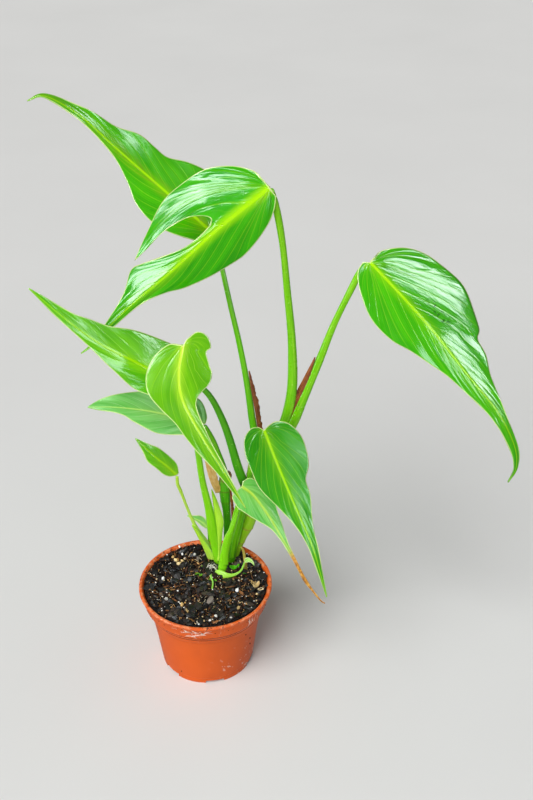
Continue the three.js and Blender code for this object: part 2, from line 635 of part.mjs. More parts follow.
function makePlant() {
  const plant = new THREE.Group();
  const blades = new THREE.Group();
  const stalks = new THREE.Group();
  plant.add(blades, stalks);

  const keepers = [];
  for (const [name, blade] of Object.entries(BLADES)) {
    addPiece(blades, `blade_${name}`, bladeSolid(blade, 0), blade.finish);
    keepers.push(bladeSolid(blade, GAP));
  }
  for (const name of GROWTH_ORDER) {
    const limb = LIMBS[name];
    let solid = limbSolid(limb, 0);
    for (const keeper of keepers) {
      solid = solid.subtract(keeper);
    }
    addPiece(stalks, name, mainBody(solid), limb.finish);
    keepers.push(limbSolid(limb, GAP));
  }
  addPiece(plant, "soil", makeSoil(keepers), "soil");
  addPiece(plant, "pot", makePot(), "terracotta");
  return plant;
}

export default makePlant();
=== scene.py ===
"""Looks of a young potted monstera with long, narrow, lobed leaves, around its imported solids.

The tables are in millimetres and the scene is in metres. +X is to the right, +Y to the back and +Z up, and
the origin is the middle of the pot's underside. Each sub-assembly is a class: build makes its mesh and dress
gives it its finish.
"""

import logging
import math
import random
from dataclasses import dataclass, field
from enum import Enum
from functools import cache
from typing import Protocol

import bmesh
import bpy
import numpy as np
from mathutils import Matrix, Quaternion, Vector, kdtree, noise

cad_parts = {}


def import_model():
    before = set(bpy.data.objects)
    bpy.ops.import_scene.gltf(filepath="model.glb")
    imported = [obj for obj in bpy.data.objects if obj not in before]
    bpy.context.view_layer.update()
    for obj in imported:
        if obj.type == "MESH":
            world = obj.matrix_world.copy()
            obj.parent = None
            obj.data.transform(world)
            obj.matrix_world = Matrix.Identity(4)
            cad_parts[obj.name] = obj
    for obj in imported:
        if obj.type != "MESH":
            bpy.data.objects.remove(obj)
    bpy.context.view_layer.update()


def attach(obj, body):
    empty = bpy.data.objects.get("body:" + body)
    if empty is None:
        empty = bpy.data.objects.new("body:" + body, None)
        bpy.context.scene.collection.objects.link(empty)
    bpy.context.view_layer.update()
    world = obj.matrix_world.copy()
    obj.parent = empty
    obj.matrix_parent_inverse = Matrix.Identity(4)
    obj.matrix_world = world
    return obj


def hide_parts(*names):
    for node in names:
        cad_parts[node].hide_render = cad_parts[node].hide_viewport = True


MM = 0.001
BODY = "root"
SEED = 11

SOIL_LEVEL = 79.6
SOIL_RADIUS = 55.1
POT_HEIGHT = 84.2

# The pot's and loose matter's places: radii and heights in millimetres, turns in radians
RIM_LINES = (64.2, 67.8)
WALL_MIDDLE = (46.2, 32)
WALL_TOP = 57.4
BAND_HEIGHTS = (58.4, 60.3, 67.3, 69, 80.4)
BAND_RADII = (50.4, 52.2, 54.8, 55.9, 57.2)
SPECK_HEIGHTS = (66.5, 70.0, 76.0, 79.5)
STUCK_SOIL = ((-0.767, 52.4), (-0.659, 44.0), (-0.66, 37.3), (-2.018, 17.9))
FOOT_HAIRS_AT = (4.8, 21.8)
HUSK_FIBRES_AT = (
    ((50, 21, 234), (41, 27, 284)), ((74, 13, 238), (82, 12.5, 270)), ((22, 32, 90), (24, 30, 150)),
)

Point = tuple[float, float, float]
Flat = tuple[float, float]
Array = np.ndarray
Colour = tuple[float, float, float, float]
log = logging.getLogger("potted_monstera")


def paint(code: str) -> Colour:
    """Turn a screen colour into the linear light that shaders use.

    Args:
        code: six hexadecimal digits, red, green and blue.

    Returns:
        The colour with an alpha of one.
    """
    parts = [int(code[i:i + 2], 16) / 255 for i in (0, 2, 4)]
    light = [c / 12.92 if c <= 0.04045 else ((c + 0.055) / 1.055) ** 2.4 for c in parts]
    return (*light, 1.0)


def unit(rows: Array) -> Array:
    """Scale each vector of an array to a length of one."""
    return rows / np.maximum(np.linalg.norm(rows, axis=-1, keepdims=True), 1e-12)


def mixed(low: Array | float, high: Array | float, share: Array) -> Array:
    """Blend from low to high by share."""
    return low * (1 - share) + high * share


def eased(value: Array, start: float, end: float) -> Array:
    """Rise smoothly from zero at start to one at end."""
    t = np.clip((value - start) / (end - start), 0, 1)
    return t * t * (3 - 2 * t)


# Curves


class Path:
    """A smooth curve through a few given points, read by its share of the whole length."""

    STEPS = 48

    def __init__(self, points: list[tuple[float, ...]]) -> None:
        """Draw the curve.

        Args:
            points: two or more points, in millimetres, in two or three dimensions.
        """
        knots = np.array(points, float)
        knots = np.vstack([2 * knots[0] - knots[1], knots, 2 * knots[-1] - knots[-2]])
        t = np.linspace(0, 1, self.STEPS, endpoint=False)[:, None]
        spans = []
        for p0, p1, p2, p3 in zip(knots, knots[1:], knots[2:], knots[3:]):
            bend = (2 * p0 - 5 * p1 + 4 * p2 - p3) * t ** 2 + (3 * p1 - p0 - 3 * p2 + p3) * t ** 3
            spans.append(p1 + 0.5 * ((p2 - p0) * t + bend))
        self.line = np.vstack([*spans, knots[-2]])
        steps = np.linalg.norm(np.diff(self.line, axis=0), axis=1)
        self.run = np.concatenate([[0.0], np.cumsum(steps)])
        self.length = float(self.run[-1])
        self.heading = unit(np.gradient(self.line, self.run, axis=0))

    def at(self, share: Array) -> tuple[Array, Array]:
        """Read the curve.

        Args:
            share: shares of the length, from 0 to 1, in any shape.

        Returns:
            The spots and the directions ahead, with one more axis than share.
        """
        run = np.asarray(share, float) * self.length
        axes = range(self.line.shape[1])
        spots = np.stack([np.interp(run, self.run, self.line[:, k]) for k in axes], -1)
        ahead = np.stack([np.interp(run, self.run, self.heading[:, k]) for k in axes], -1)
        return spots, unit(ahead)


def evenly(values: list, share: Array) -> Array:
    """Read numbers or vectors that are spread evenly over a length, smoothly.

    Args:
        values: two or more numbers, or two or more vectors.
        share: shares of the length, from 0 to 1.

    Returns:
        The values there.
    """
    rows = np.array(values, float)
    if rows.ndim == 1:
        rows = rows[:, None]
    knots = np.hstack([np.arange(len(rows))[:, None], rows])
    line = Path([tuple(row) for row in knots]).line
    spot = np.asarray(share) * (len(rows) - 1)
    read = np.stack([np.interp(spot, line[:, 0], line[:, k + 1]) for k in range(rows.shape[1])], -1)
    return read if np.ndim(values[0]) else read[..., 0]


def frames(ahead: Array, face: Array) -> tuple[Array, Array]:
    """Turn a facing direction square to the way ahead.

    Args:
        ahead: directions along a path.
        face: where the upper side looks, one vector or one for each direction.

    Returns:
        The upward and the rightward directions.
    """
    up = unit(face - (face * ahead).sum(-1, keepdims=True) * ahead)
    return up, np.cross(ahead, up)


# Shader nodes


class Wire:
    """A shader value that plain arithmetic works on: each operation adds its node."""

    def __init__(self, look: "Look", socket: bpy.types.NodeSocket) -> None:
        """Keep a node's output and the look that it belongs to."""
        self.look = look
        self.socket = socket

    def math(self, operation: str, left: "Wire | float", right: "Wire | float" = 0.0) -> "Wire":
        """Add one Math node.

        Args:
            operation: the node's operation.
            left: its first value.
            right: its second value.

        Returns:
            The result.
        """
        return self.look.node("ShaderNodeMath", {"operation": operation}, {0: left, 1: right})

    def __add__(self, other: "Wire | float") -> "Wire":
        """Add."""
        return self.math("ADD", self, other)

    def __sub__(self, other: "Wire | float") -> "Wire":
        """Subtract."""
        return self.math("SUBTRACT", self, other)

    def __rsub__(self, other: float) -> "Wire":
        """Subtract this from a number."""
        return self.math("SUBTRACT", other, self)

    def __mul__(self, other: "Wire | float") -> "Wire":
        """Multiply."""
        return self.math("MULTIPLY", self, other)

    def __truediv__(self, other: "Wire | float") -> "Wire":
        """Divide."""
        return self.math("DIVIDE", self, other)

    def __abs__(self) -> "Wire":
        """Drop the sign."""
        return self.math("ABSOLUTE", self)

    __radd__ = __add__
    __rmul__ = __mul__

    def wave(self, reach: float) -> "Wire":
        """Fold the value up and down between zero and reach."""
        return self.math("PINGPONG", self, reach)

    def _ease(self, start: float, end: float, low: float, high: float) -> "Wire":
        """Go smoothly from low at start to high at end."""
        settings = {"interpolation_type": "SMOOTHSTEP"}
        return self.look.node("ShaderNodeMapRange", settings, {0: self, 1: start, 2: end, 3: low, 4: high})

    def fade(self, start: float, end: float) -> "Wire":
        """Fall smoothly from one at start to zero at end."""
        return self._ease(start, end, 1.0, 0.0)

    def rise(self, start: float, end: float) -> "Wire":
        """Rise smoothly from zero at start to one at end."""
        return self._ease(start, end, 0.0, 1.0)


class Look:
    """One material and the nodes that make it."""

    def __init__(self, name: str) -> None:
        """Start an empty material.

        Args:
            name: the material's name.
        """
        self.material = bpy.data.materials.new(name)
        self.material.use_nodes = True
        self.tree = self.material.node_tree
        self.tree.nodes.clear()

    def node(self, kind: str, settings: dict | None = None, inputs: dict | None = None,
             output: int | str = 0) -> Wire:
        """Add any node.

        Args:
            kind: the node's type.
            settings: its settings, with a ramp's stops under "stops".
            inputs: values or wires for its sockets, by place or name.
            output: which output to hand on.

        Returns:
            The chosen output.
        """
        made = self.tree.nodes.new(kind)
        for key, value in (settings or {}).items():
            if key == "stops":
                self._set_stops(made.color_ramp, value)
            else:
                setattr(made, key, value)
        for key, value in (inputs or {}).items():
            socket = made.inputs[key]
            if isinstance(value, Wire):
                self.tree.links.new(value.socket, socket)
            else:
                socket.default_value = value
        return Wire(self, made.outputs[output])

    @staticmethod
    def _set_stops(ramp: bpy.types.ColorRamp, stops: list[tuple[float, Colour]]) -> None:
        """Set a ramp's stops, of which there are two or more.

        Args:
            ramp: the colour ramp.
            stops: each stop's place and colour.
        """
        while len(ramp.elements) < len(stops):
            ramp.elements.new(1.0)
        for element, (spot, colour) in zip(ramp.elements, stops):
            element.position = spot
            element.color = colour

    def attribute(self, name: str) -> Wire:
        """Read a number that the mesh carries."""
        return self.node("ShaderNodeAttribute", {"attribute_name": name}, output="Fac")

    def spot(self) -> Wire:
        """Read the place on the object, in metres."""
        return self.node("ShaderNodeTexCoord", output="Object")

    def parts(self, vector: Wire) -> list[Wire]:
        """Split a vector into its three numbers."""
        split = self.node("ShaderNodeSeparateXYZ", inputs={0: vector})
        return [Wire(self, out) for out in split.socket.node.outputs]

    def vector(self, x: Wire | float, y: Wire | float, z: Wire | float) -> Wire:
        """Join three numbers into a vector."""
        return self.node("ShaderNodeCombineXYZ", inputs={0: x, 1: y, 2: z})

    def grain(self, vector: Wire, scale: float, detail: float = 3.0, roughness: float = 0.55) -> Wire:
        """Read even noise, between zero and one.

        Args:
            vector: where to read it.
            scale: how fine it is.
            detail: how many finer layers lie on it.
            roughness: how strong these are.

        Returns:
            The noise.
        """
        inputs = {"Vector": vector, "Scale": scale, "Detail": detail, "Roughness": roughness}
        return self.node("ShaderNodeTexNoise", inputs=inputs)

    def mix(self, share: Wire | float, low: Wire | Colour, high: Wire | Colour) -> Wire:
        """Blend two colours by share."""
        return self.node("ShaderNodeMix", {"data_type": "RGBA"}, {0: share, 6: low, 7: high}, 2)

    def ramp(self, value: Wire, stops: list[tuple[float, Colour]]) -> Wire:
        """Read a colour ramp."""
        return self.node("ShaderNodeValToRGB", {"stops": stops}, {0: value})

    def relief(self, height: Wire) -> Wire:
        """Turn a height in millimetres into a bumped normal."""
        inputs = {"Strength": 1.0, "Distance": MM, "Height": height}
        return self.node("ShaderNodeBump", inputs=inputs, output="Normal")

    def finish(self, colour: Wire, roughness: Wire | float, height: Wire,
               shine: float) -> bpy.types.Material:
        """Join the surface and the output.

        Args:
            colour: the base colour.
            roughness: the roughness.
            height: the relief, in millimetres.
            shine: the specular level.

        Returns:
            The finished material.
        """
        inputs = {"Base Color": colour, "Roughness": roughness, "Normal": self.relief(height),
                  "Specular IOR Level": shine}
        surface = self.node("ShaderNodeBsdfPrincipled", inputs=inputs)
        out = self.tree.nodes.new("ShaderNodeOutputMaterial")
        self.tree.links.new(surface.socket, out.inputs["Surface"])
        return self.material


# Finishes


class Finish(Protocol):
    """Anything that can make a material."""

    def material(self) -> bpy.types.Material:
        """Make the material, once."""


@dataclass(frozen=True)
class LeafFinish:
    """The glossy upper side of a leaf: midrib, side veins, a pale margin line that is partly painted edge
    highlight, and painted shade beside the far midrib.

    Attributes:
        name: the material's name.
        deep: the green between the veins.
        fresh: the lighter green that clouds it.
        vein: the side veins.
        rib: the midrib.
        rim: the thin pale line along the margin, partly the margin's own colour and partly a painted
            highlight on its edge.
        rib_width: half the midrib's width at the base, in millimetres.
        rib_glow: how strongly the blade beside the midrib's base takes its colour.
        vein_strength: how clearly the side veins show.
        gloss: the surface's roughness.
        tint: a colour that clouds the blade beside the midrib.
        tint_share: how strong that is.
        dried_from: the share of the length from which the tail is dry, or 2 for none.
        marked: how far left of the midrib a row of small dark blots lies, in millimetres, or 0 for none.
    """

    name: str
    deep: str = "259600"
    fresh: str = "5cc000"
    vein: str = "a4dc28"
    rib: str = "a8e400"
    rim: str = "dcec9c"
    rib_width: float = 0.9
    rib_glow: float = 0.4
    vein_strength: float = 0.22
    gloss: float = 0.12
    tint: str = "6e8610"
    tint_share: float = 0.0
    dried_from: float = 2.0
    marked: float = 0.0

    @cache
    def material(self) -> bpy.types.Material:
        """Make the material."""
        look = Look(self.name)
        signed = look.attribute("rib_mm")
        rib = abs(signed)
        edge = look.attribute("edge_mm")
        phase = look.attribute("vein_phase")
        pitch = look.attribute("vein_pitch")
        share = look.attribute("share")
        spot = look.spot()
        clouds = look.grain(spot, 28, 2)
        wide = look.grain(look.vector(phase * 1.3, rib * 0.02, share * 2.0), 1.0, 2, 0.5)
        streaks = look.grain(look.vector(phase * 2.6, rib * 0.06, share * 5.0), 1.0, 3, 0.6)
        hairs = look.grain(look.vector(phase * 6.5, rib * 0.1, share * 5.0), 1.0, 2, 0.6)
        outward = edge.rise(0.5, 9.0)
        main = (phase.wave(0.5) * pitch).fade(0.05, 0.6)
        fine = ((phase * 4.0).wave(0.5) * pitch * 0.25).fade(0.05, 0.4)
        tone = (clouds - 0.5) * 1.0 + (streaks - 0.5) * 0.5 + (wide - 0.5) * 1.1 + 0.5
        green = look.mix(tone, paint(self.deep), paint(self.fresh))
        far = share.rise(0.25, 0.6)
        beside = rib.fade(1.0, 9.0)
        # Painted shade: beside the midrib's far part, the blade is darkened towards the deep green.
        green = look.mix(beside * far * 0.4, green, paint(self.deep))
        veins = (main * (0.35 + 0.65 * outward) + fine * 0.25 * outward) * self.vein_strength
        green = look.mix(veins, green, paint(self.vein))
        near = (1.0 - share).rise(0.1, 1.0)
        green = look.mix(rib.fade(0.5, 7.0) * near * self.rib_glow, green, paint(self.rib))
        green = look.mix(beside * streaks.rise(0.35, 0.65) * self.tint_share, green, paint(self.tint))
        if self.marked:
            row = abs(signed + self.marked).fade(1.5, 4.5) * share.rise(0.2, 0.23) * share.fade(0.31, 0.35)
            blots = look.grain(look.vector(phase * 2.0, share * 90.0, 0.0), 1.0, 2).rise(0.52, 0.6)
            green = look.mix(row * blots * 0.8, green, paint("085000"))
        width = (1.0 - share) * self.rib_width + 0.3
        core = (rib / width).fade(0.4, 1.4)
        colour = look.mix(core * (1.0 - share * 0.6), green, paint(self.rib))
        # Pale margin line: partly the margin's own colour, partly a painted highlight of light caught on the
        # edge; it fades towards the tip.
        tip = share.rise(0.75, 1.0)
        colour = look.mix(edge.fade(0.3, 0.9) * (0.85 - tip * 0.6), colour, paint(self.rim))
        if self.dried_from < 1.0:
            dried = (share + (streaks - 0.5) * 0.06).rise(self.dried_from, self.dried_from + 0.1)
            stops = [(0.3, paint("8a5418")), (0.5, paint("cc8a24")), (0.7, paint("ecc058"))]
            colour = look.mix(dried, colour, look.ramp(look.grain(spot, 320, 3), stops))
        ridges = (streaks * 0.2 + hairs * 0.07 + wide * 0.1) * pitch * 0.12
        height = ridges - main * 0.04 * outward - core * 0.1
        roughness = (streaks - 0.5) * 0.16 + (clouds - 0.5) * 0.08 + self.gloss
        return look.finish(colour, roughness, height, 0.36)


@dataclass(frozen=True)
class LeafBackFinish:
    """The paler, duller underside of a leaf, where the veins stand out."""

    name: str
    green: str = "5fae3c"
    vein: str = "9fd36c"

    @cache
    def material(self) -> bpy.types.Material:
        """Make the material."""
        look = Look(self.name)
        rib = abs(look.attribute("rib_mm"))
        phase = look.attribute("vein_phase")
        pitch = look.attribute("vein_pitch")
        clouds = look.grain(look.spot(), 45, 3)
        main = (phase.wave(0.5) * pitch).fade(0.2, 0.7)
        net = look.grain(look.spot(), 900, 2)
        green = look.mix((clouds - 0.3) * 0.8 + (net - 0.5) * 0.4, paint(self.green), paint("7cc257"))
        colour = look.mix(main * 0.4, green, paint(self.vein))
        colour = look.mix(rib.fade(0.6, 1.8), colour, paint("b4dc78"))
        height = main * 0.12 + net * 0.03
        return look.finish(colour, clouds * 0.1 + 0.45, height, 0.25)


@dataclass(frozen=True)
class StalkFinish:
    """A smooth green stalk with faint long streaks.

    Attributes:
        name: the material's name.
        low: the colour at the foot.
        high: the colour at the top.
        streak: the lighter lines along it.
        gloss: the surface's roughness.
        browned: the share from which the top is brown and dry, or 2 for none.
        ringed: how strong the marks of old leaves, or the margins of a sheath, are.
        ring: their colour.
        shaded: the share up to which the foot is painted nearly black as shade, or 0 for none.
    """

    name: str
    low: str = "4f9f10"
    high: str = "7cc41a"
    streak: str = "b2e83c"
    gloss: float = 0.32
    browned: float = 2.0
    ringed: float = 0.0
    ring: str = "6b4a22"
    shaded: float = 0.0

    @cache
    def material(self) -> bpy.types.Material:
        """Make the material."""
        look = Look(self.name)
        turn = look.attribute("turn")
        run = look.attribute("run_mm")
        share = look.attribute("share")
        ring = look.attribute("ring")
        long_way = look.vector(turn * 14.0, run * 0.035, share)
        streaks = look.grain(long_way, 1.0, 3, 0.6)
        clouds = look.grain(look.spot(), 60, 3)
        green = look.mix(share + (clouds - 0.5) * 0.5, paint(self.low), paint(self.high))
        colour = look.mix(streaks.rise(0.45, 0.75) * 0.5, green, paint(self.streak))
        flecks = look.grain(look.spot(), 420, 1).rise(0.7, 0.76)
        colour = look.mix(flecks * 0.35, colour, paint("d8f090"))
        colour = look.mix(ring * self.ringed, colour, paint(self.ring))
        # Painted shade: the foot, deep among the other stalks, is darkened nearly to black.
        if self.shaded:
            colour = look.mix(share.fade(self.shaded * 0.5, self.shaded), colour, paint("081c04"))
        if self.browned < 1.0:
            dry = (share + (streaks - 0.5) * 0.3).rise(self.browned, self.browned + 0.08)
            stops = [(0.3, paint("2a1408")), (0.5, paint("8a5a2c")), (0.68, paint("c89a62"))]
            colour = look.mix(dry, colour, look.ramp(look.grain(look.spot(), 260, 4), stops))
        height = streaks * 0.12 + clouds * 0.08
        return look.finish(colour, (clouds - 0.5) * 0.12 + self.gloss, height, 0.3)


@dataclass(frozen=True)
class HuskFinish:
    """Papery dry sheath, with fibres along it in darker and paler strips."""

    name: str
    dark: str = "3a1608"
    middle: str = "8a4418"
    light: str = "c8823c"

    @cache
    def material(self) -> bpy.types.Material:
        """Make the material."""
        look = Look(self.name)
        across = look.attribute("turn")
        run = look.attribute("run_mm")
        fibres = look.grain(look.vector(across * 22.0, run * 0.09, 0.0), 1.0, 4, 0.65)
        clouds = look.grain(look.spot(), 160, 3)
        stops = [(0.32, paint(self.dark)), (0.5, paint(self.middle)), (0.68, paint(self.light))]
        colour = look.ramp(fibres * 0.65 + clouds * 0.35, stops)
        height = fibres * 0.35 + clouds * 0.1
        return look.finish(colour, clouds * 0.2 + 0.55, height, 0.35)


@dataclass(frozen=True)
class PotFinish:
    """Satin terracotta-orange moulded plastic with scuffs, lime and a little soil, and painted shade in the
    two grooves under the rim band.
    """

    name: str = "terracotta_plastic"
    body: str = "dc5c14"
    shade: str = "c44c0c"
    worn: str = "f2a070"

    @cache
    def material(self) -> bpy.types.Material:
        """Make the material."""
        look = Look(self.name)
        spot = look.spot()
        x, y, z = look.parts(spot)
        clouds = look.grain(spot, 22, 3)
        fine = look.grain(spot, 1400, 2)
        wall = look.vector(x * 9.0, y * 9.0, z * 1.2)
        drawn = look.grain(wall, 20.0, 3, 0.6)
        colour = look.mix((clouds - 0.4) * 1.3 + (drawn - 0.5) * 0.4, paint(self.body), paint(self.shade))
        lip = z.rise(0.0805, 0.0838)
        rubbed = look.grain(spot, 190, 4).rise(0.42, 0.7)
        colour = look.mix(lip * rubbed * 0.75, colour, paint(self.worn))
        soiled = look.grain(spot, 330, 3).rise(0.6, 0.66) * z.rise(0.076, 0.083)
        colour = look.mix(soiled * 0.8, colour, paint("2a1a10"))
        scratch_at = look.vector(x * 30.0 + z * 22.0, y * 30.0, z * 9.0 - x * 6.0)
        scratches = look.grain(scratch_at, 9.0, 2, 0.5).rise(0.62, 0.68)
        low_right = x.rise(0.0, 0.03) * z.fade(0.012, 0.05) * y.fade(-0.02, 0.0)
        colour = look.mix(scratches * low_right * 0.7, colour, paint("f0d8c8"))
        lime = look.grain(look.vector(x * 60.0, y * 60.0, z * 5.0), 14.0, 3, 0.6).rise(0.62, 0.7)
        colour = look.mix(lime * z.rise(0.05, 0.08) * 0.25, colour, paint("f2e2d6"))
        level = z * (1 / MM)
        # Painted shade: the two grooves under the rim band are darkened where the band's edge shades them.
        low_groove_shade, high_groove_shade = (abs(level - height).fade(0.45, 1.0) for height in RIM_LINES)
        lines = low_groove_shade + high_groove_shade
        colour = look.mix(lines * 0.95, colour, paint("602004"))
        height = fine * 0.02 + drawn * 0.05 + scratches * low_right * 0.05
        return look.finish(colour, (clouds - 0.5) * 0.14 + 0.4 + soiled * 0.3, height, 0.32)


@dataclass(frozen=True)
class GrainFinish:
    """Loose matter of the soil: each grain has its own tone, and its surface is rough and fibrous."""

    name: str
    stops: tuple[tuple[float, str], ...]
    gloss: float = 0.8
    rough_mm: float = 0.4
    scale: float = 900.0
    shine: float = 0.4

    @cache
    def material(self) -> bpy.types.Material:
        """Make the material."""
        look = Look(self.name)
        tone = look.attribute("tone")
        speck = look.grain(look.spot(), self.scale, 4, 0.65)
        coarse = look.grain(look.spot(), self.scale * 0.2, 3)
        value = tone * 0.72 + speck * 0.22 + coarse * 0.1
        colour = look.ramp(value, [(spot, paint(code)) for spot, code in self.stops])
        height = speck * self.rough_mm + coarse * self.rough_mm
        return look.finish(colour, (speck - 0.5) * 0.25 + self.gloss, height, self.shine * 0.65)


@dataclass(frozen=True)
class FloorFinish:
    """The plain pale studio floor."""

    name: str = "studio_floor"

    @cache
    def material(self) -> bpy.types.Material:
        """Make the material."""
        look = Look(self.name)
        clouds = look.grain(look.spot(), 3.0, 3)
        colour = look.mix(clouds, paint("d2d2d0"), paint("dadad8"))
        return look.finish(colour, 0.8, clouds * 0.1, 0.2)


class Chosen(Enum):
    """A choice of finishes, each of which can stand where a finish is asked for."""

    def material(self) -> bpy.types.Material:
        """Make the material."""
        return self.value.material()


class Green(Chosen):
    """The finishes of the leaves' upper sides."""

    TOP_BACK = LeafFinish("leaf_green_back", deep="289800", fresh="50bc00", tint_share=0.5)
    TOP_FRONT = LeafFinish("leaf_green_front", deep="1e9000", fresh="40b400", rib_width=1.1, rib_glow=0.75)
    RIGHT_BIG = LeafFinish("leaf_green_right", deep="229400", fresh="48b800", rib_glow=0.3, marked=14.0)
    MIDDLE = LeafFinish("leaf_green_middle", deep="40a406", fresh="78ce1c", gloss=0.15)
    YOUNG = LeafFinish("leaf_yellow_green", deep="489a00", fresh="70bc00", vein="b0e830", rib="c4ee34",
                       gloss=0.22)
    CENTRE = LeafFinish("leaf_satin_green", deep="1a8602", fresh="40a408", rib_glow=0.25, gloss=0.2)
    PALE = LeafFinish("leaf_pale_green", deep="4eaa3a", fresh="90d474", vein="bce8a0", rib="bce86c",
                      rib_glow=0.3, gloss=0.3)
    DRYING = LeafFinish("leaf_drying_green", deep="3ea42c", fresh="80d060", vein="b0e48c", rib="b8dc48",
                        rib_glow=0.15, gloss=0.28, dried_from=0.5)


class Dry(Chosen):
    """The finishes of the dry sheaths."""

    RED = HuskFinish("dry_sheath_red")
    TAN = HuskFinish("dry_sheath_tan", "c08840", "ecb864", "fce0ac")
    STRAW = HuskFinish("dry_sheath_straw", "7a6a1e", "b0a03a", "d8cc78")


LEAF_BACK = LeafBackFinish("leaf_underside")


# Pieces


def placed(name: str, shape: bmesh.types.BMesh) -> bpy.types.Object:
    """Turn a finished mesh into an object at the origin.

    Args:
        name: the object's name.
        shape: the mesh, in metres, which is freed.

    Returns:
        The object.
    """
    mesh = bpy.data.meshes.new(name)
    shape.to_mesh(mesh)
    shape.free()
    made = bpy.data.objects.new(name, mesh)
    bpy.context.scene.collection.objects.link(made)
    return made


def thickened(made: bpy.types.Object, thick: float, offset: float = 0.0) -> bpy.types.Modifier:
    """Give a sheet its thickness.

    Args:
        made: the sheet.
        thick: the thickness, in millimetres.
        offset: 0 to grow to both sides, or -1 to grow below the sheet.

    Returns:
        The modifier that does it.
    """
    slab = made.modifiers.new("thickness", "SOLIDIFY")
    slab.thickness = thick * MM
    slab.offset = offset
    return slab


@dataclass
class Piece:
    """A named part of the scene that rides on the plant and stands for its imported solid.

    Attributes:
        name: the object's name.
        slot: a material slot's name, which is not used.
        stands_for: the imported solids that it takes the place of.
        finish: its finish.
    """

    name: str
    slot: str
    stands_for: tuple[str, ...]
    finish: Finish

    def keep(self, shape: bmesh.types.BMesh, sharp_angle: float | None = None) -> bpy.types.Object:
        """Make the finished mesh an object at the origin and tie it to the plant.

        Args:
            shape: the mesh, in metres.
            sharp_angle: in degrees, above which an edge stays sharp, or None for none.

        Returns:
            The object.
        """
        made = placed(self.name, shape)
        made.data.polygons.foreach_set("use_smooth", [True] * len(made.data.polygons))
        if sharp_angle is not None:
            made.data.set_sharp_from_angle(angle=math.radians(sharp_angle))
        self.tie(made)
        return made

    def tie(self, made: bpy.types.Object) -> None:
        """Let an object ride on the plant and the solids that it replaces.

        Args:
            made: the object.
        """
        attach(made, BODY)
        if self.stands_for:
            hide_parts(*self.stands_for)

    def dress(self, made: bpy.types.Object) -> None:
        """Give an object its finish."""
        made.data.materials.append(self.finish.material())


def add_sheet(shape: bmesh.types.BMesh, spots: Array, fields: dict[str, Array]) -> list[bmesh.types.BMVert]:
    """Add a grid and lay its points where they belong.

    Args:
        shape: the mesh to add to, which has a float layer for each field.
        spots: rows by columns of places, in millimetres.
        fields: numbers for the shader at each place, by layer name.

    Returns:
        The new corners, row by row.
    """
    rows, columns = spots.shape[:2]
    made = bmesh.ops.create_grid(shape, x_segments=columns - 1, y_segments=rows - 1, size=1.0)["verts"]
    for vert, spot in zip(made, (spots * MM).reshape(-1, 3).tolist()):
        vert.co = spot
    for key, values in fields.items():
        layer = shape.verts.layers.float[key]
        for vert, value in zip(made, np.broadcast_to(values, (rows, columns)).ravel().tolist()):
            vert[layer] = value
    return made


def new_shape(*layers: str) -> bmesh.types.BMesh:
    """Start a mesh whose corners carry the named numbers.

    Args:
        layers: the numbers' names.

    Returns:
        The mesh.
    """
    shape = bmesh.new()
    for key in layers:
        shape.verts.layers.float.new(key)
    return shape


def turned(profile: list[Flat], turns: int, *layers: str) -> bmesh.types.BMesh:
    """Turn a profile round the pot's axis.

    Args:
        profile: its corners as (radius, height), in millimetres.
        turns: steps of the turn.
        layers: the numbers that the mesh's corners carry.

    Returns:
        The mesh, in metres.
    """
    shape = new_shape(*layers)
    corners = [shape.verts.new((r * MM, 0, z * MM)) for r, z in profile]
    edges = [shape.edges.new(pair) for pair in zip(corners, corners[1:])]
    bmesh.ops.spin(shape, geom=corners + edges, cent=(0, 0, 0), axis=(0, 0, 1), angle=2 * math.pi,
                   steps=turns, use_merge=True)
    bmesh.ops.remove_doubles(shape, verts=shape.verts, dist=0.01 * MM)
    bmesh.ops.recalc_face_normals(shape, faces=shape.faces)
    return shape


# Leaves


class Margin:
    """One edge of a blade, spread over the midrib so that each side vein sweeps forward from its root."""

    SWEEP = 0.8
    CREEP = 0.12

    def __init__(self, points: list[Flat], start: float, end: float) -> None:
        """Spread the margin.

        Args:
            points: the margin as (along, across), from its base to its tip.
            start: the first root on the midrib.
            end: the last root on the midrib.
        """
        self.line = Path(points).line
        step = np.linalg.norm(np.diff(self.line, axis=0), axis=1)
        roots = [0.0]
        for (along, across), length in zip(self.line[1:], step):
            roots.append(max(roots[-1] + self.CREEP * length, along - start - self.SWEEP * across))
        self.roots = start + np.array(roots) * (end - start) / roots[-1]
        self.run = np.concatenate([[0.0], np.cumsum(step)])

    def at(self, root: Array) -> Array:
        """Read the margin's point that belongs to each root."""
        return np.stack([np.interp(root, self.roots, self.line[:, k]) for k in (0, 1)], -1)

    def run_at(self, root: Array) -> Array:
        """Read how far along the margin each root's point is."""
        return np.interp(root, self.roots, self.run)


@dataclass
class Patch:
    """A flat grid of one half of a blade, or of part of it.

    Attributes:
        flat: rows by columns of (along, across).
        outward: each column's share of the way to the margin, rows by columns.
        root: where each row's side vein leaves the midrib.
        margin: the margin that the rows end on.
        side: 1 on the right, -1 on the left.
        free_from: the column from which the last row is a free edge, or 0 for none.
    """

    flat: Array
    outward: Array
    root: Array
    margin: Margin
    side: int
    free_from: int = 0


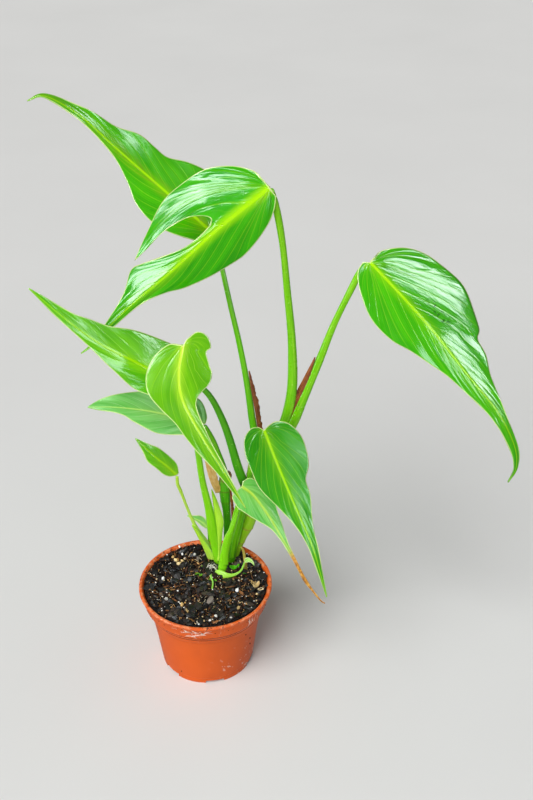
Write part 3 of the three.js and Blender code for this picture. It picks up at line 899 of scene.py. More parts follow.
def stretched(rib: Array, margin: Array, first: Array, last: Array, shares: Array) -> Array:
    """Stretch a flat grid between four edges.

    Args:
        rib: the row starts.
        margin: the row ends.
        first: the first row.
        last: the last row.
        shares: each column's share of the way across.

    Returns:
        Rows by columns of flat points.
    """
    u = np.linspace(0, 1, len(rib))[:, None, None]
    v = shares[None, :, None]
    ruled = rib[:, None] * (1 - v) + margin[:, None] * v
    first_bow = first[None] - (rib[0] * (1 - v) + margin[0] * v)
    last_bow = last[None] - (rib[-1] * (1 - v) + margin[-1] * v)
    return ruled + first_bow * (1 - u) ** 2 + last_bow * u ** 2


def straight(start: Array, end: Array, shares: Array) -> Array:
    """Lay points on a straight line by their shares."""
    return start * (1 - shares[:, None]) + end * shares[:, None]


@dataclass
class Lobe:
    """A long side lobe on the right half of a blade, cut free by a notch.

    Attributes:
        root: where the notch's side vein leaves the midrib.
        outer: the margin from the blade's base to the lobe's tip.
        inner: the margin from the notch to the lobe's tip.
    """

    root: float
    outer: list[Flat]
    inner: list[Flat]


@dataclass
class Blade(Piece):
    """A leaf blade: a midrib with two halves that fold along it and bend towards their margins.

    Attributes:
        spine: the midrib from base to tip.
        facing: where the upper side looks, spread evenly from base to tip.
        fold: how far the halves rise from the midrib, in degrees, spread evenly from base to tip.
        curl: how their slope changes on the way out, in degrees a millimetre.
        right: the right margin as (along, across), seen from above with the tip ahead.
        left: the left margin.
        lobe: a side lobe on the right half.
        pitch: the distance between side veins, in millimetres.
        thick: the blade's thickness, in millimetres.
        keel: how much thicker the midrib is at the base.
        cell: the size of a mesh cell, in millimetres.
        wave: how far the margins wave up and down.
        blunt: half the width of the very tip.
        columns: cells between the midrib and the margin.
    """

    spine: list[Point]
    facing: list[Point]
    fold: list[float]
    curl: float
    right: list[Flat]
    left: list[Flat]
    lobe: Lobe | None = None
    pitch: float = 7.0
    thick: float = 0.7
    keel: float = 1.3
    cell: float = 1.25
    wave: float = 0.5
    blunt: float = 0.45
    columns: int = 26
    path: Path = field(init=False)

    LEAN = 0.26
    SWEEP = 1.15
    CROWD = 2.1
    SWELL = 0.011
    BUNCH = 1.5
    BESIDE_NOTCH = 0.12
    FIELDS = ("rib_mm", "edge_mm", "vein_phase", "vein_pitch", "share")

    def __post_init__(self) -> None:
        """Draw the midrib."""
        self.path = Path(self.spine)

    def place(self, along: Array, across: Array, lift: Array) -> Array:
        """Lay flat points of the blade in space.

        Args:
            along: distance from the base along the midrib.
            across: distance from the midrib, positive on the right.
            lift: height over the blade's middle surface.

        Returns:
            The places, in millimetres.
        """
        share = np.clip(along / self.path.length, 0, 1)
        centre, ahead = self.path.at(share)
        centre = centre + ahead * (along - share * self.path.length)[..., None]
        up, right = frames(ahead, evenly(self.facing, share))
        rise = np.radians(evenly(self.fold, share))
        droop = math.radians(self.curl)
        bend = rise + droop * np.abs(across)
        reach = (np.sin(bend) - np.sin(rise)) / droop - lift * np.sin(bend)
        height = (np.cos(rise) - np.cos(bend)) / droop + lift * np.cos(bend)
        return centre + right * (np.sign(across) * reach)[..., None] + up * height[..., None]

    def _stations(self, margins: list[Margin]) -> Array:
        """Choose the roots on the midrib so that the cells stay even along midrib and margins.

        Args:
            margins: the blade's margins.

        Returns:
            The roots, from base to tip.
        """
        root = np.linspace(0, self.path.length, 3000)
        metric = root.copy()
        for margin in margins:
            metric += 0.6 * margin.run_at(root)
        count = round(metric[-1] / (2.0 * self.cell))
        return np.interp(np.linspace(0, metric[-1], count + 1), metric, root)

    def _half(self, margin: Margin, roots: Array, side: int) -> Patch:
        """Make one plain half over the given roots.

        Args:
            margin: its margin.
            roots: the roots on the midrib.
            side: 1 on the right, -1 on the left.

        Returns:
            The half.
        """
        shares = np.linspace(0, 1, self.columns + 1) ** self.BUNCH
        rib = np.stack([roots, np.zeros_like(roots)], -1)
        ends = margin.at(roots)
        first, last = (straight(rib[k], ends[k], shares) for k in (0, -1))
        flat = stretched(rib, ends, first, last, shares)
        outward = np.broadcast_to(shares, flat.shape[:2])
        return Patch(flat, outward, roots, margin, side)

    def _lobed(self, outer: Margin, roots: Array) -> Patch:
        """Make the lobe over the roots up to its notch.

        Args:
            outer: its outer margin.
            roots: the roots on the midrib.

        Returns:
            The lobe.
        """
        near = self.BESIDE_NOTCH
        shares = np.linspace(0, 1, self.columns + 1) ** self.BUNCH
        inner = Path(self.lobe.inner)
        count = round(inner.length / (1.4 * self.cell))
        far = np.linspace(0, 1, count + 1)[1:]
        rib = np.stack([roots, np.zeros_like(roots)], -1)
        ends = outer.at(roots)
        last = np.vstack([straight(rib[-1], np.array(self.lobe.inner[0]), shares), inner.at(far)[0]])
        shares = np.concatenate([near * shares, near + (1 - near) * far])
        flat = stretched(rib, ends, straight(rib[0], ends[0], shares), last, shares)
        outward = np.broadcast_to(shares, flat.shape[:2])
        return Patch(flat, outward, roots, outer, 1, self.columns)

    def patches(self) -> list[Patch]:
        """Lay out the flat blade as grids that share their edges.

        Returns:
            The grids.
        """
        length = self.path.length
        tip = (length, self.blunt)
        left = Margin([*self.left, tip], 0, length)
        if self.lobe is None:
            right = Margin([*self.right, tip], 0, length)
            roots = self._stations([left, right])
            return [self._half(right, roots, 1), self._half(left, roots, -1)]
        fork = self.lobe.root
        outer = Margin(self.lobe.outer, 0, fork)
        body = Margin([*self.right, tip], fork, length)
        roots = self._stations([left, outer, body])
        notch = int(np.argmin(np.abs(roots - fork)))
        roots[notch] = fork
        lobe = self._lobed(outer, roots[:notch + 1])
        return [lobe, self._half(body, roots[notch:], 1), self._half(left, roots, -1)]

    def _veins(self, patch: Patch) -> tuple[Array, Array]:
        """Number the side veins over a patch.

        The first ones fan out from the blade's base. The others leave the midrib at a small angle.

        Args:
            patch: the flat grid.

        Returns:
            Each point's place between veins, counted in veins, and the distance between them there.
        """
        along, across = patch.flat[..., 0], patch.flat[..., 1]
        start = np.broadcast_to(patch.root[:, None], along.shape)
        lean = self.LEAN * self.path.length
        outward = np.maximum(patch.outward, 1e-4) ** self.SWEEP
        reached = np.where(start < lean * outward, start / outward, start - lean * outward + lean)
        root = np.linspace(0, self.path.length + lean, 2400)
        run = patch.margin.run_at(root) + 0.35 * np.maximum(0, root - patch.root[-1])
        phase = np.interp(reached, root, run / (self.CROWD * self.pitch)) + (0.0 if patch.side > 0 else 0.45)
        rows = [np.gradient(values, axis=0) for values in (along, across, phase)]
        columns = [np.gradient(values, axis=1) for values in (along, across, phase)]
        area = rows[0] * columns[1] - rows[1] * columns[0]
        area = np.where(np.abs(area) < 1e-4, 1e-4, area)
        slope_along = (rows[2] * columns[1] - columns[2] * rows[1]) / area
        slope_across = (columns[2] * rows[0] - rows[2] * columns[0]) / area
        steep = np.hypot(slope_along, slope_across)
        return phase, np.clip(1 / np.maximum(steep, 1e-3), 0.3, 1.6 * self.pitch)

    def build(self) -> bpy.types.Object:
        """Make the blade's mesh, with its thickness as a modifier.

        Returns:
            The object.
        """
        patches = self.patches()
        rim = np.vstack([self._outline(patch) for patch in patches])
        tree = kdtree.KDTree(len(rim))
        for i, (along, across) in enumerate(rim.tolist()):
            tree.insert((along, across, 0.0), i)
        tree.balance()
        shape = new_shape(*self.FIELDS)
        depth = shape.verts.layers.deform.verify()
        for patch in patches:
            along, across = patch.flat[..., 0], patch.flat[..., 1]
            signed = across * patch.side
            edge = np.array([tree.find((a, b, 0.0))[2] for a, b in zip(along.ravel(), signed.ravel())])
            edge = edge.reshape(along.shape)
            phase, pitch = self._veins(patch)
            share = np.clip(along / self.path.length, 0, 1)
            spots = self.place(along, signed, self._relief(along, signed, edge, phase, pitch))
            fields = dict(zip(self.FIELDS, (signed, edge, phase, pitch, share)))
            verts = add_sheet(shape, spots, fields)
            body = self.thick / (self.thick + self.keel)
            rounded = np.exp(-(across / 1.25) ** 2) * (1 - share) ** 0.8
            for vert, weight in zip(verts, mixed(body, 1.0, rounded).ravel().tolist()):
                vert[depth][0] = weight
        self._sew(shape)
        made = self.keep(shape)
        made.vertex_groups.new(name="depth")
        slab = thickened(made, self.thick + self.keel, -1)
        slab.vertex_group = "depth"
        slab.material_offset = 1
        return made

    def _relief(self, along: Array, signed: Array, edge: Array, phase: Array, pitch: Array) -> Array:
        """Shape the upper side: swells between the veins, a groove at the midrib and waving margins.

        Args:
            along: distance from the base along the midrib.
            signed: distance from the midrib, positive on the right.
            edge: distance from the free edge.
            phase: place between veins.
            pitch: distance between veins.

        Returns:
            The height over the blade's middle surface.
        """
        across = np.abs(signed)
        share = np.clip(along / self.path.length, 0, 1)
        swell = 0.5 - 0.5 * np.cos(2 * np.pi * phase)
        inside = eased(edge, 0.5, 8) * (1 - np.exp(-(across / 5) ** 2))
        groove = 0.4 * np.exp(-(across / 0.9) ** 2) * (1 - share)
        waves = np.sin(phase * 1.9 + self.path.length) * (1 - eased(edge, 0, 14))
        lift = self.SWELL * pitch * swell * inside - groove + self.wave * waves * np.minimum(1, across / 6)
        return self.thick / 2 + lift

    @staticmethod
    def _outline(patch: Patch) -> Array:
        """Take the free edge of a patch, in signed flat points, every half millimetre or so.

        Args:
            patch: the flat grid.

        Returns:
            The points.
        """
        edge = Path([tuple(p) for p in patch.flat[:, -1]]).line[::12]
        sides = [edge]
        if patch.root[0] == 0:
            sides.append(patch.flat[0])
        if patch.free_from:
            sides.append(patch.flat[-1, patch.free_from:])
        return np.vstack(sides) * (1, patch.side)

    def _sew(self, shape: bmesh.types.BMesh) -> None:
        """Join the patches along the midrib and turn the upper side outwards.

        Args:
            shape: the blade's mesh.
        """
        bmesh.ops.remove_doubles(shape, verts=shape.verts, dist=0.012 * MM)
        bmesh.ops.dissolve_degenerate(shape, edges=shape.edges, dist=0.001 * MM)
        bmesh.ops.recalc_face_normals(shape, faces=shape.faces)
        spot = [np.array(value) for value in (self.path.length / 2, 3.0, 0.0)]
        middle = Vector((self.place(*spot) * MM).tolist())
        nearest = min(shape.faces, key=lambda face: (face.calc_center_median() - middle).length_squared)
        if nearest.normal.dot(Vector(self.facing[len(self.facing) // 2])) < 0:
            bmesh.ops.reverse_faces(shape, faces=shape.faces)

    def dress(self, made: bpy.types.Object) -> None:
        """Give the upper side and the underside their finishes."""
        super().dress(made)
        made.data.materials.append(LEAF_BACK.material())


# Stalks, stems, roots and dry sheaths


@dataclass
class Stalk(Piece):
    """A tapered stalk, stem or root along a path.

    Attributes:
        path: points from the foot up.
        half: half widths, spread evenly over the path.
        face: where its front looks.
        flat: its depth as a share of its width.
        groove: how deep the channel on its front is, as a share of the half width.
        rings: shares of the length that have a ring left by an old leaf.
        sides: corners round it.
        step: the distance between rows, in millimetres.
    """

    path: list[Point]
    half: list[float]
    face: Point = (0, -1, 0.01)
    flat: float = 1.0
    groove: float = 0.0
    rings: tuple[float, ...] = ()
    sides: int = 28
    step: float = 1.5

    FIELDS = ("turn", "run_mm", "share", "ring")
    RING_REACH = 0.8
    RING_RISE = 0.45

    def build(self) -> bpy.types.Object:
        """Roll a sheet into the stalk and close its ends.

        Returns:
            The object.
        """
        line = Path(self.path)
        rows = max(6, round(line.length / self.step))
        share = np.linspace(0, 1, rows + 1)[:, None]
        turn = np.linspace(0, 1, self.sides + 1)[None, :]
        spots, ahead = line.at(share)
        up, right = frames(ahead, np.array(self.face, float))
        marks = [np.exp(-((share - at) * line.length / self.RING_REACH) ** 2) for at in self.rings]
        ring = sum(marks, np.zeros_like(share))
        half = evenly(self.half, share) + self.RING_RISE * ring
        ends = np.minimum(share, 1 - share) * line.length / np.maximum(half, 0.5)
        half = half * np.sqrt(np.clip(1 - (1 - np.minimum(ends, 1)) ** 2, 0.02, 1))
        angle = 2 * np.pi * turn
        front = np.cos(angle - np.pi / 2)
        channel = 1 - self.groove * np.exp(-((front - 1) / 0.14) ** 2) * eased(share, 0.02, 0.2)
        wide = half * channel * np.cos(angle)
        deep = half * channel * self.flat * np.sin(angle)
        places = spots + right * wide[..., None] + up * deep[..., None]
        round_way = np.abs(turn - 0.5) * 2 + 0 * share
        shape = new_shape(*self.FIELDS)
        fields = {"turn": round_way, "run_mm": share * line.length + 0 * turn, "share": share + 0 * turn,
                  "ring": np.minimum(1, ring) + 0 * turn}
        add_sheet(shape, places, fields)
        bmesh.ops.remove_doubles(shape, verts=shape.verts, dist=0.003 * MM)
        bmesh.ops.holes_fill(shape, edges=shape.edges, sides=0)
        bmesh.ops.recalc_face_normals(shape, faces=shape.faces)
        return self.keep(shape)


@dataclass
class Strip(Piece):
    """A thin strip that stretches between two edges: a leaf sheath's wing or a dry sheath.

    Attributes:
        inner: one edge, from the foot up.
        outer: the other edge, from the foot up.
        bulge: how far its middle stands out, in millimetres.
        face: where it stands out to.
        ragged: how far its outer edge is torn, as a share of the width.
        thick: its thickness, in millimetres.
        columns: cells across it.
    """

    inner: list[Point]
    outer: list[Point]
    bulge: float = 1.0
    face: Point = (0, -1, 0)
    ragged: float = 0.0
    thick: float = 0.5
    columns: int = 12

    FIELDS = ("turn", "run_mm", "share", "ring")

    def build(self) -> bpy.types.Object:
        """Stretch the strip and give it its thickness.

        Returns:
            The object.
        """
        edges = [Path(self.inner), Path(self.outer)]
        rows = round(edges[1].length / 1.2)
        share = np.linspace(0, 1, rows + 1)[:, None]
        turn = np.linspace(0, 1, self.columns + 1)[None, :]
        low, high = (edge.at(share)[0] for edge in edges)
        run = share * edges[1].length
        torn = np.array([noise.noise((along * 0.35, self.thick, 3.7)) for along in run.ravel()])[:, None]
        reach = turn * (1 + self.ragged * torn)
        places = mixed(low, high, reach[..., None])
        stand = np.sin(np.pi * np.clip(reach, 0, 1)) * self.bulge
        places = places + unit(np.array(self.face, float)) * stand[..., None]
        shape = new_shape(*self.FIELDS)
        fields = {"turn": turn, "run_mm": run, "share": share, "ring": eased(turn, 0.93, 1.0)}
        add_sheet(shape, places, fields)
        bmesh.ops.remove_doubles(shape, verts=shape.verts, dist=0.003 * MM)
        bmesh.ops.recalc_face_normals(shape, faces=shape.faces)
        made = self.keep(shape)
        thickened(made, self.thick)
        return made


# Pot and soil


@dataclass
class Pot(Piece):
    """The round plastic nursery pot, turned from one profile, with drain holes and foot notches.

    Attributes:
        height: its height.
        foot: the radius of its foot.
        shoulder: the radius of its wall's top.
        band: the radius of its rim band's lower edge.
        wall: its wall's thickness.
        floor: the height of its inner floor.
        pad: the radius of the flat pad under its middle.
        channel: the height of the channel round the pad.
        holes: the number of drain holes.
        notches: the number of notches in the foot.
        turns: steps of the turned profile.
    """

    height: float = POT_HEIGHT
    foot: float = 42.1
    shoulder: float = 50.1
    band: float = 55.9
    wall: float = 1.6
    floor: float = 5.2
    pad: float = 15.0
    channel: float = 2.8
    holes: int = 8
    notches: int = 6
    turns: int = 160

    HOLE_RADIUS = 4.5
    HOLE_DEPTH = 20
    NOTCH = (12, 17, 5.6)
    ROUND_ABOVE = 18
    ROUNDING = 0.28
    SHARP_ABOVE = 40

    def profile(self) -> list[Flat]:
        """List the profile's corners as (radius, height), from the underside's middle round to the floor.

        Returns:
            The corners.
        """
        low_line, high_line = RIM_LINES
        middle, middle_height = WALL_MIDDLE
        inside = [(self.band - 0.1 - self.wall, 69.6), (self.shoulder - self.wall, WALL_TOP),
                  (middle - self.wall, middle_height), (self.foot + 0.8 - self.wall, self.floor),
                  (0, self.floor)]
        return [
            (0, 0), (self.pad, 0), (self.pad + 1.2, self.channel), (self.foot - 4.6, self.channel),
            (self.foot - 3.6, 0), (self.foot, 0), (self.foot + 0.2, 5.4), (self.foot + 0.8, 6.2),
            WALL_MIDDLE, (self.shoulder, WALL_TOP), (self.shoulder + 0.3, 58.4), (self.shoulder + 1.7, 59.2),
            (self.shoulder + 2.1, 60.3), (self.shoulder + 3.2, 63.5), (self.shoulder + 2.7, low_line),
            (self.shoulder + 3.9, 64.8), (self.band - 1.0, 67.1), (self.band - 1.9, high_line),
            (self.band - 0.3, 68.4), (self.band, 69), (57.2, 80.4), (59.6, 81.4), (60, 82.6),
            (59.7, self.height - 0.3), (59, self.height), (57.6, self.height), (56.8, self.height - 0.8),
            (55.8, 82), *inside,
        ]

    def build(self) -> bpy.types.Object:
        """Turn the profile, round its corners and cut the holes and notches.

        Returns:
            The object.
        """
        shape = turned(self.profile(), self.turns)
        bend = math.radians(self.ROUND_ABOVE)
        rounds = [e for e in shape.edges if len(e.link_faces) == 2 and e.calc_face_angle(0) > bend]
        bmesh.ops.bevel(shape, geom=rounds, affect="EDGES", offset=self.ROUNDING * MM, segments=2,
                        profile=0.5, material=-1, clamp_overlap=True)
        made = self.keep(shape, self.SHARP_ABOVE)
        tools = [self._drain(i) for i in range(self.holes)] + [self._notch(i) for i in range(self.notches)]
        for tool in tools:
            cut = made.modifiers.new(tool.name, "BOOLEAN")
            cut.object = tool
            cut.solver = "EXACT"
        bpy.context.view_layer.update()
        cut_mesh = bpy.data.meshes.new_from_object(made.evaluated_get(bpy.context.evaluated_depsgraph_get()))
        made.modifiers.clear()
        made.data = cut_mesh
        made.data.name = self.name
        made.data.set_sharp_from_angle(angle=math.radians(self.SHARP_ABOVE))
        for tool in tools:
            bpy.data.objects.remove(tool)
        return made

    def _drain(self, i: int) -> bpy.types.Object:
        """Make the tool for one drain hole.

        Args:
            i: the hole's number.

        Returns:
            The tool.
        """
        turn = (i + 0.5) / self.holes * 2 * math.pi
        ring = (self.pad + self.foot) / 2
        place = Matrix.Translation(Vector((ring * math.cos(turn), ring * math.sin(turn), self.floor)) * MM)
        shape = bmesh.new()
        radius = self.HOLE_RADIUS * MM
        bmesh.ops.create_cone(shape, cap_ends=True, segments=40, radius1=radius, radius2=radius,
                              depth=self.HOLE_DEPTH * MM, matrix=place)
        return placed(f"drain_{i}", shape)

    def _notch(self, i: int) -> bpy.types.Object:
        """Make the tool for one notch in the foot.

        Args:
            i: the notch's number.

        Returns:
            The tool.
        """
        turn = Matrix.Rotation((i + 0.69) / self.notches * 2 * math.pi, 4, "Z")
        size = Matrix.Diagonal((*(side * MM for side in self.NOTCH), 1))
        place = turn @ Matrix.Translation((self.foot * MM, 0, 0)) @ size
        shape = bmesh.new()
        bmesh.ops.create_cube(shape, size=1.0, matrix=place)
        return placed(f"notch_{i}", shape)


def ripple(x: float, y: float) -> float:
    """Read the lie of the soil, between about -1 and 1, at a place in millimetres.

    Args:
        x: to the right.
        y: to the back.

    Returns:
        The lie.
    """
    coarse = math.sin(x * 0.31 + 1.3) * math.cos(y * 0.27 - 0.4)
    fine = math.sin(x * 0.83 - y * 0.55) * math.cos(y * 0.71 + x * 0.42 + 2.1)
    return 0.55 * coarse + 0.45 * fine


def soil_height(x: float, y: float) -> float:
    """Read the soil's height at a place, in millimetres.

    Args:
        x: to the right.
        y: to the back.

    Returns:
        The height.
    """
    lumps = noise.noise((x * 0.16, y * 0.16, 2.0)) * 1.5 + noise.noise((x * 0.5, y * 0.5, 5.0)) * 1.1
    bank = 2.9 * float(eased(np.hypot(x, y), 40, 55))
    return SOIL_LEVEL - 0.3 + 0.5 * ripple(x, y) + lumps + bank


@dataclass
class SoilBed(Piece):
    """The body of the soil, which fills the pot, with a lumpy top."""

    rings: int = 56
    turns: int = 160

    def build(self) -> bpy.types.Object:
        """Turn the soil's profile and roughen its top.

        Returns:
            The object.
        """
        top = [(SOIL_RADIUS * i / self.rings, SOIL_LEVEL) for i in range(self.rings, -1, -1)]
        below = [(0, 5.5), (41, 5.5), (44.3, WALL_MIDDLE[1]), (48.2, WALL_TOP), (53.9, 69.6), (54.7, 76)]
        shape = turned(below + top, self.turns, "tone")
        tone = shape.verts.layers.float["tone"]
        for vert in shape.verts:
            x, y, z = vert.co / MM
            if z > SOIL_LEVEL - 1:
                vert.co.z = soil_height(x, y) * MM
            vert[tone] = 0.25 + 0.3 * noise.noise((x * 0.3, y * 0.3, 1.0))
        return self.keep(shape)


@dataclass
class Grains(Piece):
    """Loose grains of one kind, scattered on the soil or put at chosen places.

    Attributes:
        count: how many are scattered.
        size: the least and greatest size, in millimetres.
        stretch: how much longer and flatter than round they are.
        spots: further chosen places as (x, y, size).
        angular: how irregular they are.
        sunk: how deep they sit, as a share of their size.
        seed: the number that their scatter starts from.
        radius: how far from the middle they reach.
    """

    count: int
    size: Flat
    stretch: Point = (1.3, 1.0, 0.7)
    spots: list[Point] = field(default_factory=list)
    angular: float = 0.22
    sunk: float = 0.1
    seed: int = SEED
    radius: float = SOIL_RADIUS - 0.8

    SHARP_ABOVE = 28

    def build(self) -> bpy.types.Object:
        """Scatter the grains.

        Returns:
            The object.
        """
        dice = random.Random(self.seed)
        shape = new_shape("tone")
        for _ in range(self.count):
            far = self.radius * math.sqrt(dice.random())
            turn = dice.uniform(0, 2 * math.pi)
            size = self.size[0] + (self.size[1] - self.size[0]) * dice.random() ** 2.2
            self._grain(shape, far * math.cos(turn), far * math.sin(turn), size, dice)
        for x, y, size in self.spots:
            self._grain(shape, x, y, size, dice)
        return self.keep(shape, self.SHARP_ABOVE)

    def _grain(self, shape: bmesh.types.BMesh, x: float, y: float, size: float, dice: random.Random) -> None:
        """Add one grain at a place, in millimetres.

        Args:
            shape: the mesh to add to.
            x: to the right.
            y: to the back.
            size: its size.
            dice: the chance that shapes it.
        """
        turn = Matrix.Rotation(dice.uniform(0, 6.283), 4, "Z") @ Matrix.Rotation(dice.gauss(0, 0.35), 4, "X")
        turn = turn @ Matrix.Rotation(dice.gauss(0, 0.35), 4, "Y")
        height = soil_height(x, y) + size * (0.5 * self.stretch[2] - self.sunk)
        place = Matrix.Translation(Vector((x, y, height)) * MM)
        stretch = [factor * dice.uniform(0.75, 1.25) for factor in self.stretch]
        scale = Matrix.Diagonal((*(size * 0.5 * MM * factor for factor in stretch), 1))
        verts = bmesh.ops.create_icosphere(shape, subdivisions=1, radius=1.0)["verts"]
        tone = shape.verts.layers.float["tone"]
        shade = dice.random()
        for vert in verts:
            jitter = 1 + dice.uniform(-self.angular, self.angular)
            vert.co = place @ turn @ scale @ (vert.co * jitter)
            vert[tone] = shade


@dataclass
class Threads(Piece):
    """Thin fibres or hair roots, each a small bent tube.

    Attributes:
        lines: each thread's points.
        half: half their thickness, in millimetres.
        sides: corners round each thread.
    """

    lines: list[list[Point]]
    half: Flat = (0.18, 0.3)
    sides: int = 5

    def build(self) -> bpy.types.Object:
        """Draw each thread.

        Returns:
            The object.
        """
        dice = random.Random(SEED)
        shape = new_shape("tone")
        for points in self.lines:
            line = Path(points)
            rows = max(3, round(line.length / 1.6))
            share = np.linspace(0, 1, rows + 1)[:, None]
            angle = np.linspace(0, 2 * np.pi, self.sides + 1)[None, :]
            spots, ahead = line.at(share)
            up, right = frames(ahead, np.array((0.05, 0.1, 1.0)))
            thick = dice.uniform(*self.half) * (1 - 0.75 * np.abs(2 * share - 1) ** 3)
            round_it = right * (thick * np.cos(angle))[..., None] + up * (thick * np.sin(angle))[..., None]
            add_sheet(shape, spots + round_it, {"tone": np.full((1, 1), dice.random())})
        bmesh.ops.remove_doubles(shape, verts=shape.verts, dist=0.002 * MM)
        bmesh.ops.holes_fill(shape, edges=shape.edges, sides=self.sides)
        bmesh.ops.recalc_face_normals(shape, faces=shape.faces)
        return self.keep(shape)


@dataclass
class Scraps(Piece):
    """Small curled bits of dry leaf or moss, as thin bent sheets.

    Attributes:
        spots: places as (x, y, size).
        bend: how strongly they curl.
        thick: their thickness, in millimetres.
    """

    spots: list[Point]
    bend: float = 1.2
    thick: float = 0.35

    def build(self) -> bpy.types.Object:
        """Lay the scraps.

        Returns:
            The object.
        """
        dice = random.Random(SEED)
        shape = new_shape("tone")
        for x, y, size in self.spots:
            self._scrap(shape, x, y, size, dice)
        bmesh.ops.recalc_face_normals(shape, faces=shape.faces)
        made = self.keep(shape)
        thickened(made, self.thick)
        return made

    def _scrap(self, shape: bmesh.types.BMesh, x: float, y: float, size: float, dice: random.Random) -> None:
        """Add one curled bit at a place, in millimetres.

        Args:
            shape: the mesh to add to.
            x: to the right.
            y: to the back.
            size: its size.
            dice: the chance that shapes it.
        """
        a = np.linspace(-1, 1, 9)[:, None]
        b = np.linspace(-1, 1, 7)[None, :]
        wide = np.sqrt(np.clip(1.05 - a ** 2, 0, 1)) * dice.uniform(0.4, 0.7)
        lift = self.bend * (b ** 2 * dice.uniform(0.2, 0.5) + a ** 2 * dice.uniform(-0.2, 0.4)) + 0.15
        local = np.stack([a + 0 * b, wide * b, lift + 0.12 * np.sin(5 * a + 4 * b)], -1) * size * 0.5
        turn = Matrix.Rotation(dice.uniform(0, 6.283), 3, "Z") @ Matrix.Rotation(dice.gauss(0, 0.4), 3, "X")
        base = np.array((x, y, soil_height(x, y) + 1.0))
        spots = local @ np.array(turn).T + base
        add_sheet(shape, spots, {"tone": np.full((1, 1), dice.random())})


# Studio


@dataclass
class SoftLight:
    """A soft studio light: a large panel, or a far light that reaches the whole floor.

    Attributes:
        name: its name.
        place: where it hangs, in metres.
        size: its width and height in metres, or nothing for a far light.
        glow: how bright its face is.
        shades: whether it only lights matt surfaces, or else only shows as a highlight.
        roll: how far it leans to the right, seen from the plant, in degrees.
    """

    name: str
    place: Point
    size: Flat | None
    glow: float
    shades: bool = False
    roll: float = 0.0

    AIM = (0.05, 0.0, 0.3)
    SPREAD = 45.0
    TINT = (0.9, 0.97, 1.0)

    def build(self) -> None:
        """Hang the light."""
        lamp = bpy.data.lights.new(self.name, "AREA" if self.size else "SUN")
        if self.size:
            lamp.shape = "RECTANGLE"
            lamp.size, lamp.size_y = self.size
            lamp.energy = self.glow * math.pi * self.size[0] * self.size[1]
            lamp.color = self.TINT
        else:
            lamp.angle = math.radians(self.SPREAD)
            lamp.energy = self.glow
        made = bpy.data.objects.new(self.name, lamp)
        made.location = self.place
        facing = (Vector(self.AIM) - Vector(self.place)).to_track_quat("-Z", "Y")
        made.rotation_euler = (facing @ Quaternion((0, 0, 1), math.radians(self.roll))).to_euler()
        made.visible_diffuse = self.shades
        made.visible_glossy = not self.shades
        bpy.context.scene.collection.objects.link(made)


@dataclass
class Studio:
    """The camera, the pale floor, the world's dim light and the soft lights.

    Attributes:
        camera_place: in metres.
        camera_tilt: how far the camera looks down, in degrees.
        lens: in millimetres.
        frame_width: the width of the camera's frame, in millimetres.
        floor_size: in metres.
        world_light: how bright the surroundings are.
    """

    camera_place: Point = (0.055, -0.755, 0.764)
    camera_tilt: float = 32.7
    lens: float = 50.0
    frame_width: float = 36.0
    floor_size: float = 16.0
    world_light: float = 0.24

    def build(self) -> None:
        """Set up the studio."""
        self._camera()
        self._floor()
        world = bpy.data.worlds.new("studio_world")
        world.use_nodes = True
        backdrop = world.node_tree.nodes["Background"]
        backdrop.inputs["Color"].default_value = (1.0, 1.0, 1.0, 1.0)
        backdrop.inputs["Strength"].default_value = self.world_light
        bpy.context.scene.world = world
        bpy.context.scene.view_settings.view_transform = "Standard"
        lights = [
            SoftLight("far_key", (-0.55, -0.8, 1.5), None, 3.05, shades=True),
            SoftLight("foot_fill", (-0.35, -1.2, 0.42), (0.7, 0.4), 3.7, shades=True),
            SoftLight("overhead_box", (0.4, -0.12, 1.67), (0.32, 0.3), 16),
            SoftLight("left_top_card", (-0.798, -0.436, 1.256), (0.23, 0.65), 20, roll=-56),
            SoftLight("left_upper_card", (-1.085, -0.311, 0.961), (0.35, 0.58), 20, roll=-46),
            SoftLight("left_lower_card", (-1.191, -0.53, 0.297), (0.26, 0.7), 22),
            SoftLight("right_upper_card", (1.073, -0.083, 1.176), (0.21, 0.7), 27, roll=24),
            SoftLight("right_lower_card", (1.262, -0.5, 0.6), (0.21, 0.7), 25, roll=-6),
            SoftLight("front_card", (0.582, -1.22, 0.528), (0.3, 0.7), 12, roll=-7),
            SoftLight("front_upper_card", (0.78, -0.923, 0.962), (0.45, 0.2), 5, roll=-28),
        ]
        for light in lights:
            light.build()

    def _camera(self) -> None:
        """Make the camera at the photograph's angle."""
        data = bpy.data.cameras.new("studio_camera")
        data.lens = self.lens
        data.sensor_width = self.frame_width
        camera = bpy.data.objects.new("studio_camera", data)
        camera.location = self.camera_place
        camera.rotation_euler = (math.radians(90 - self.camera_tilt), 0, 0)
        bpy.context.scene.collection.objects.link(camera)
        bpy.context.scene.camera = camera

    def _floor(self) -> None:
        """Lay the floor just under the pot."""
        shape = bmesh.new()
        bmesh.ops.create_grid(shape, x_segments=8, y_segments=8, size=self.floor_size / 2)
        floor = placed("studio_floor", shape)
        floor.data.materials.append(FloorFinish().material())
        floor.visible_glossy = False


# The plant's own tables


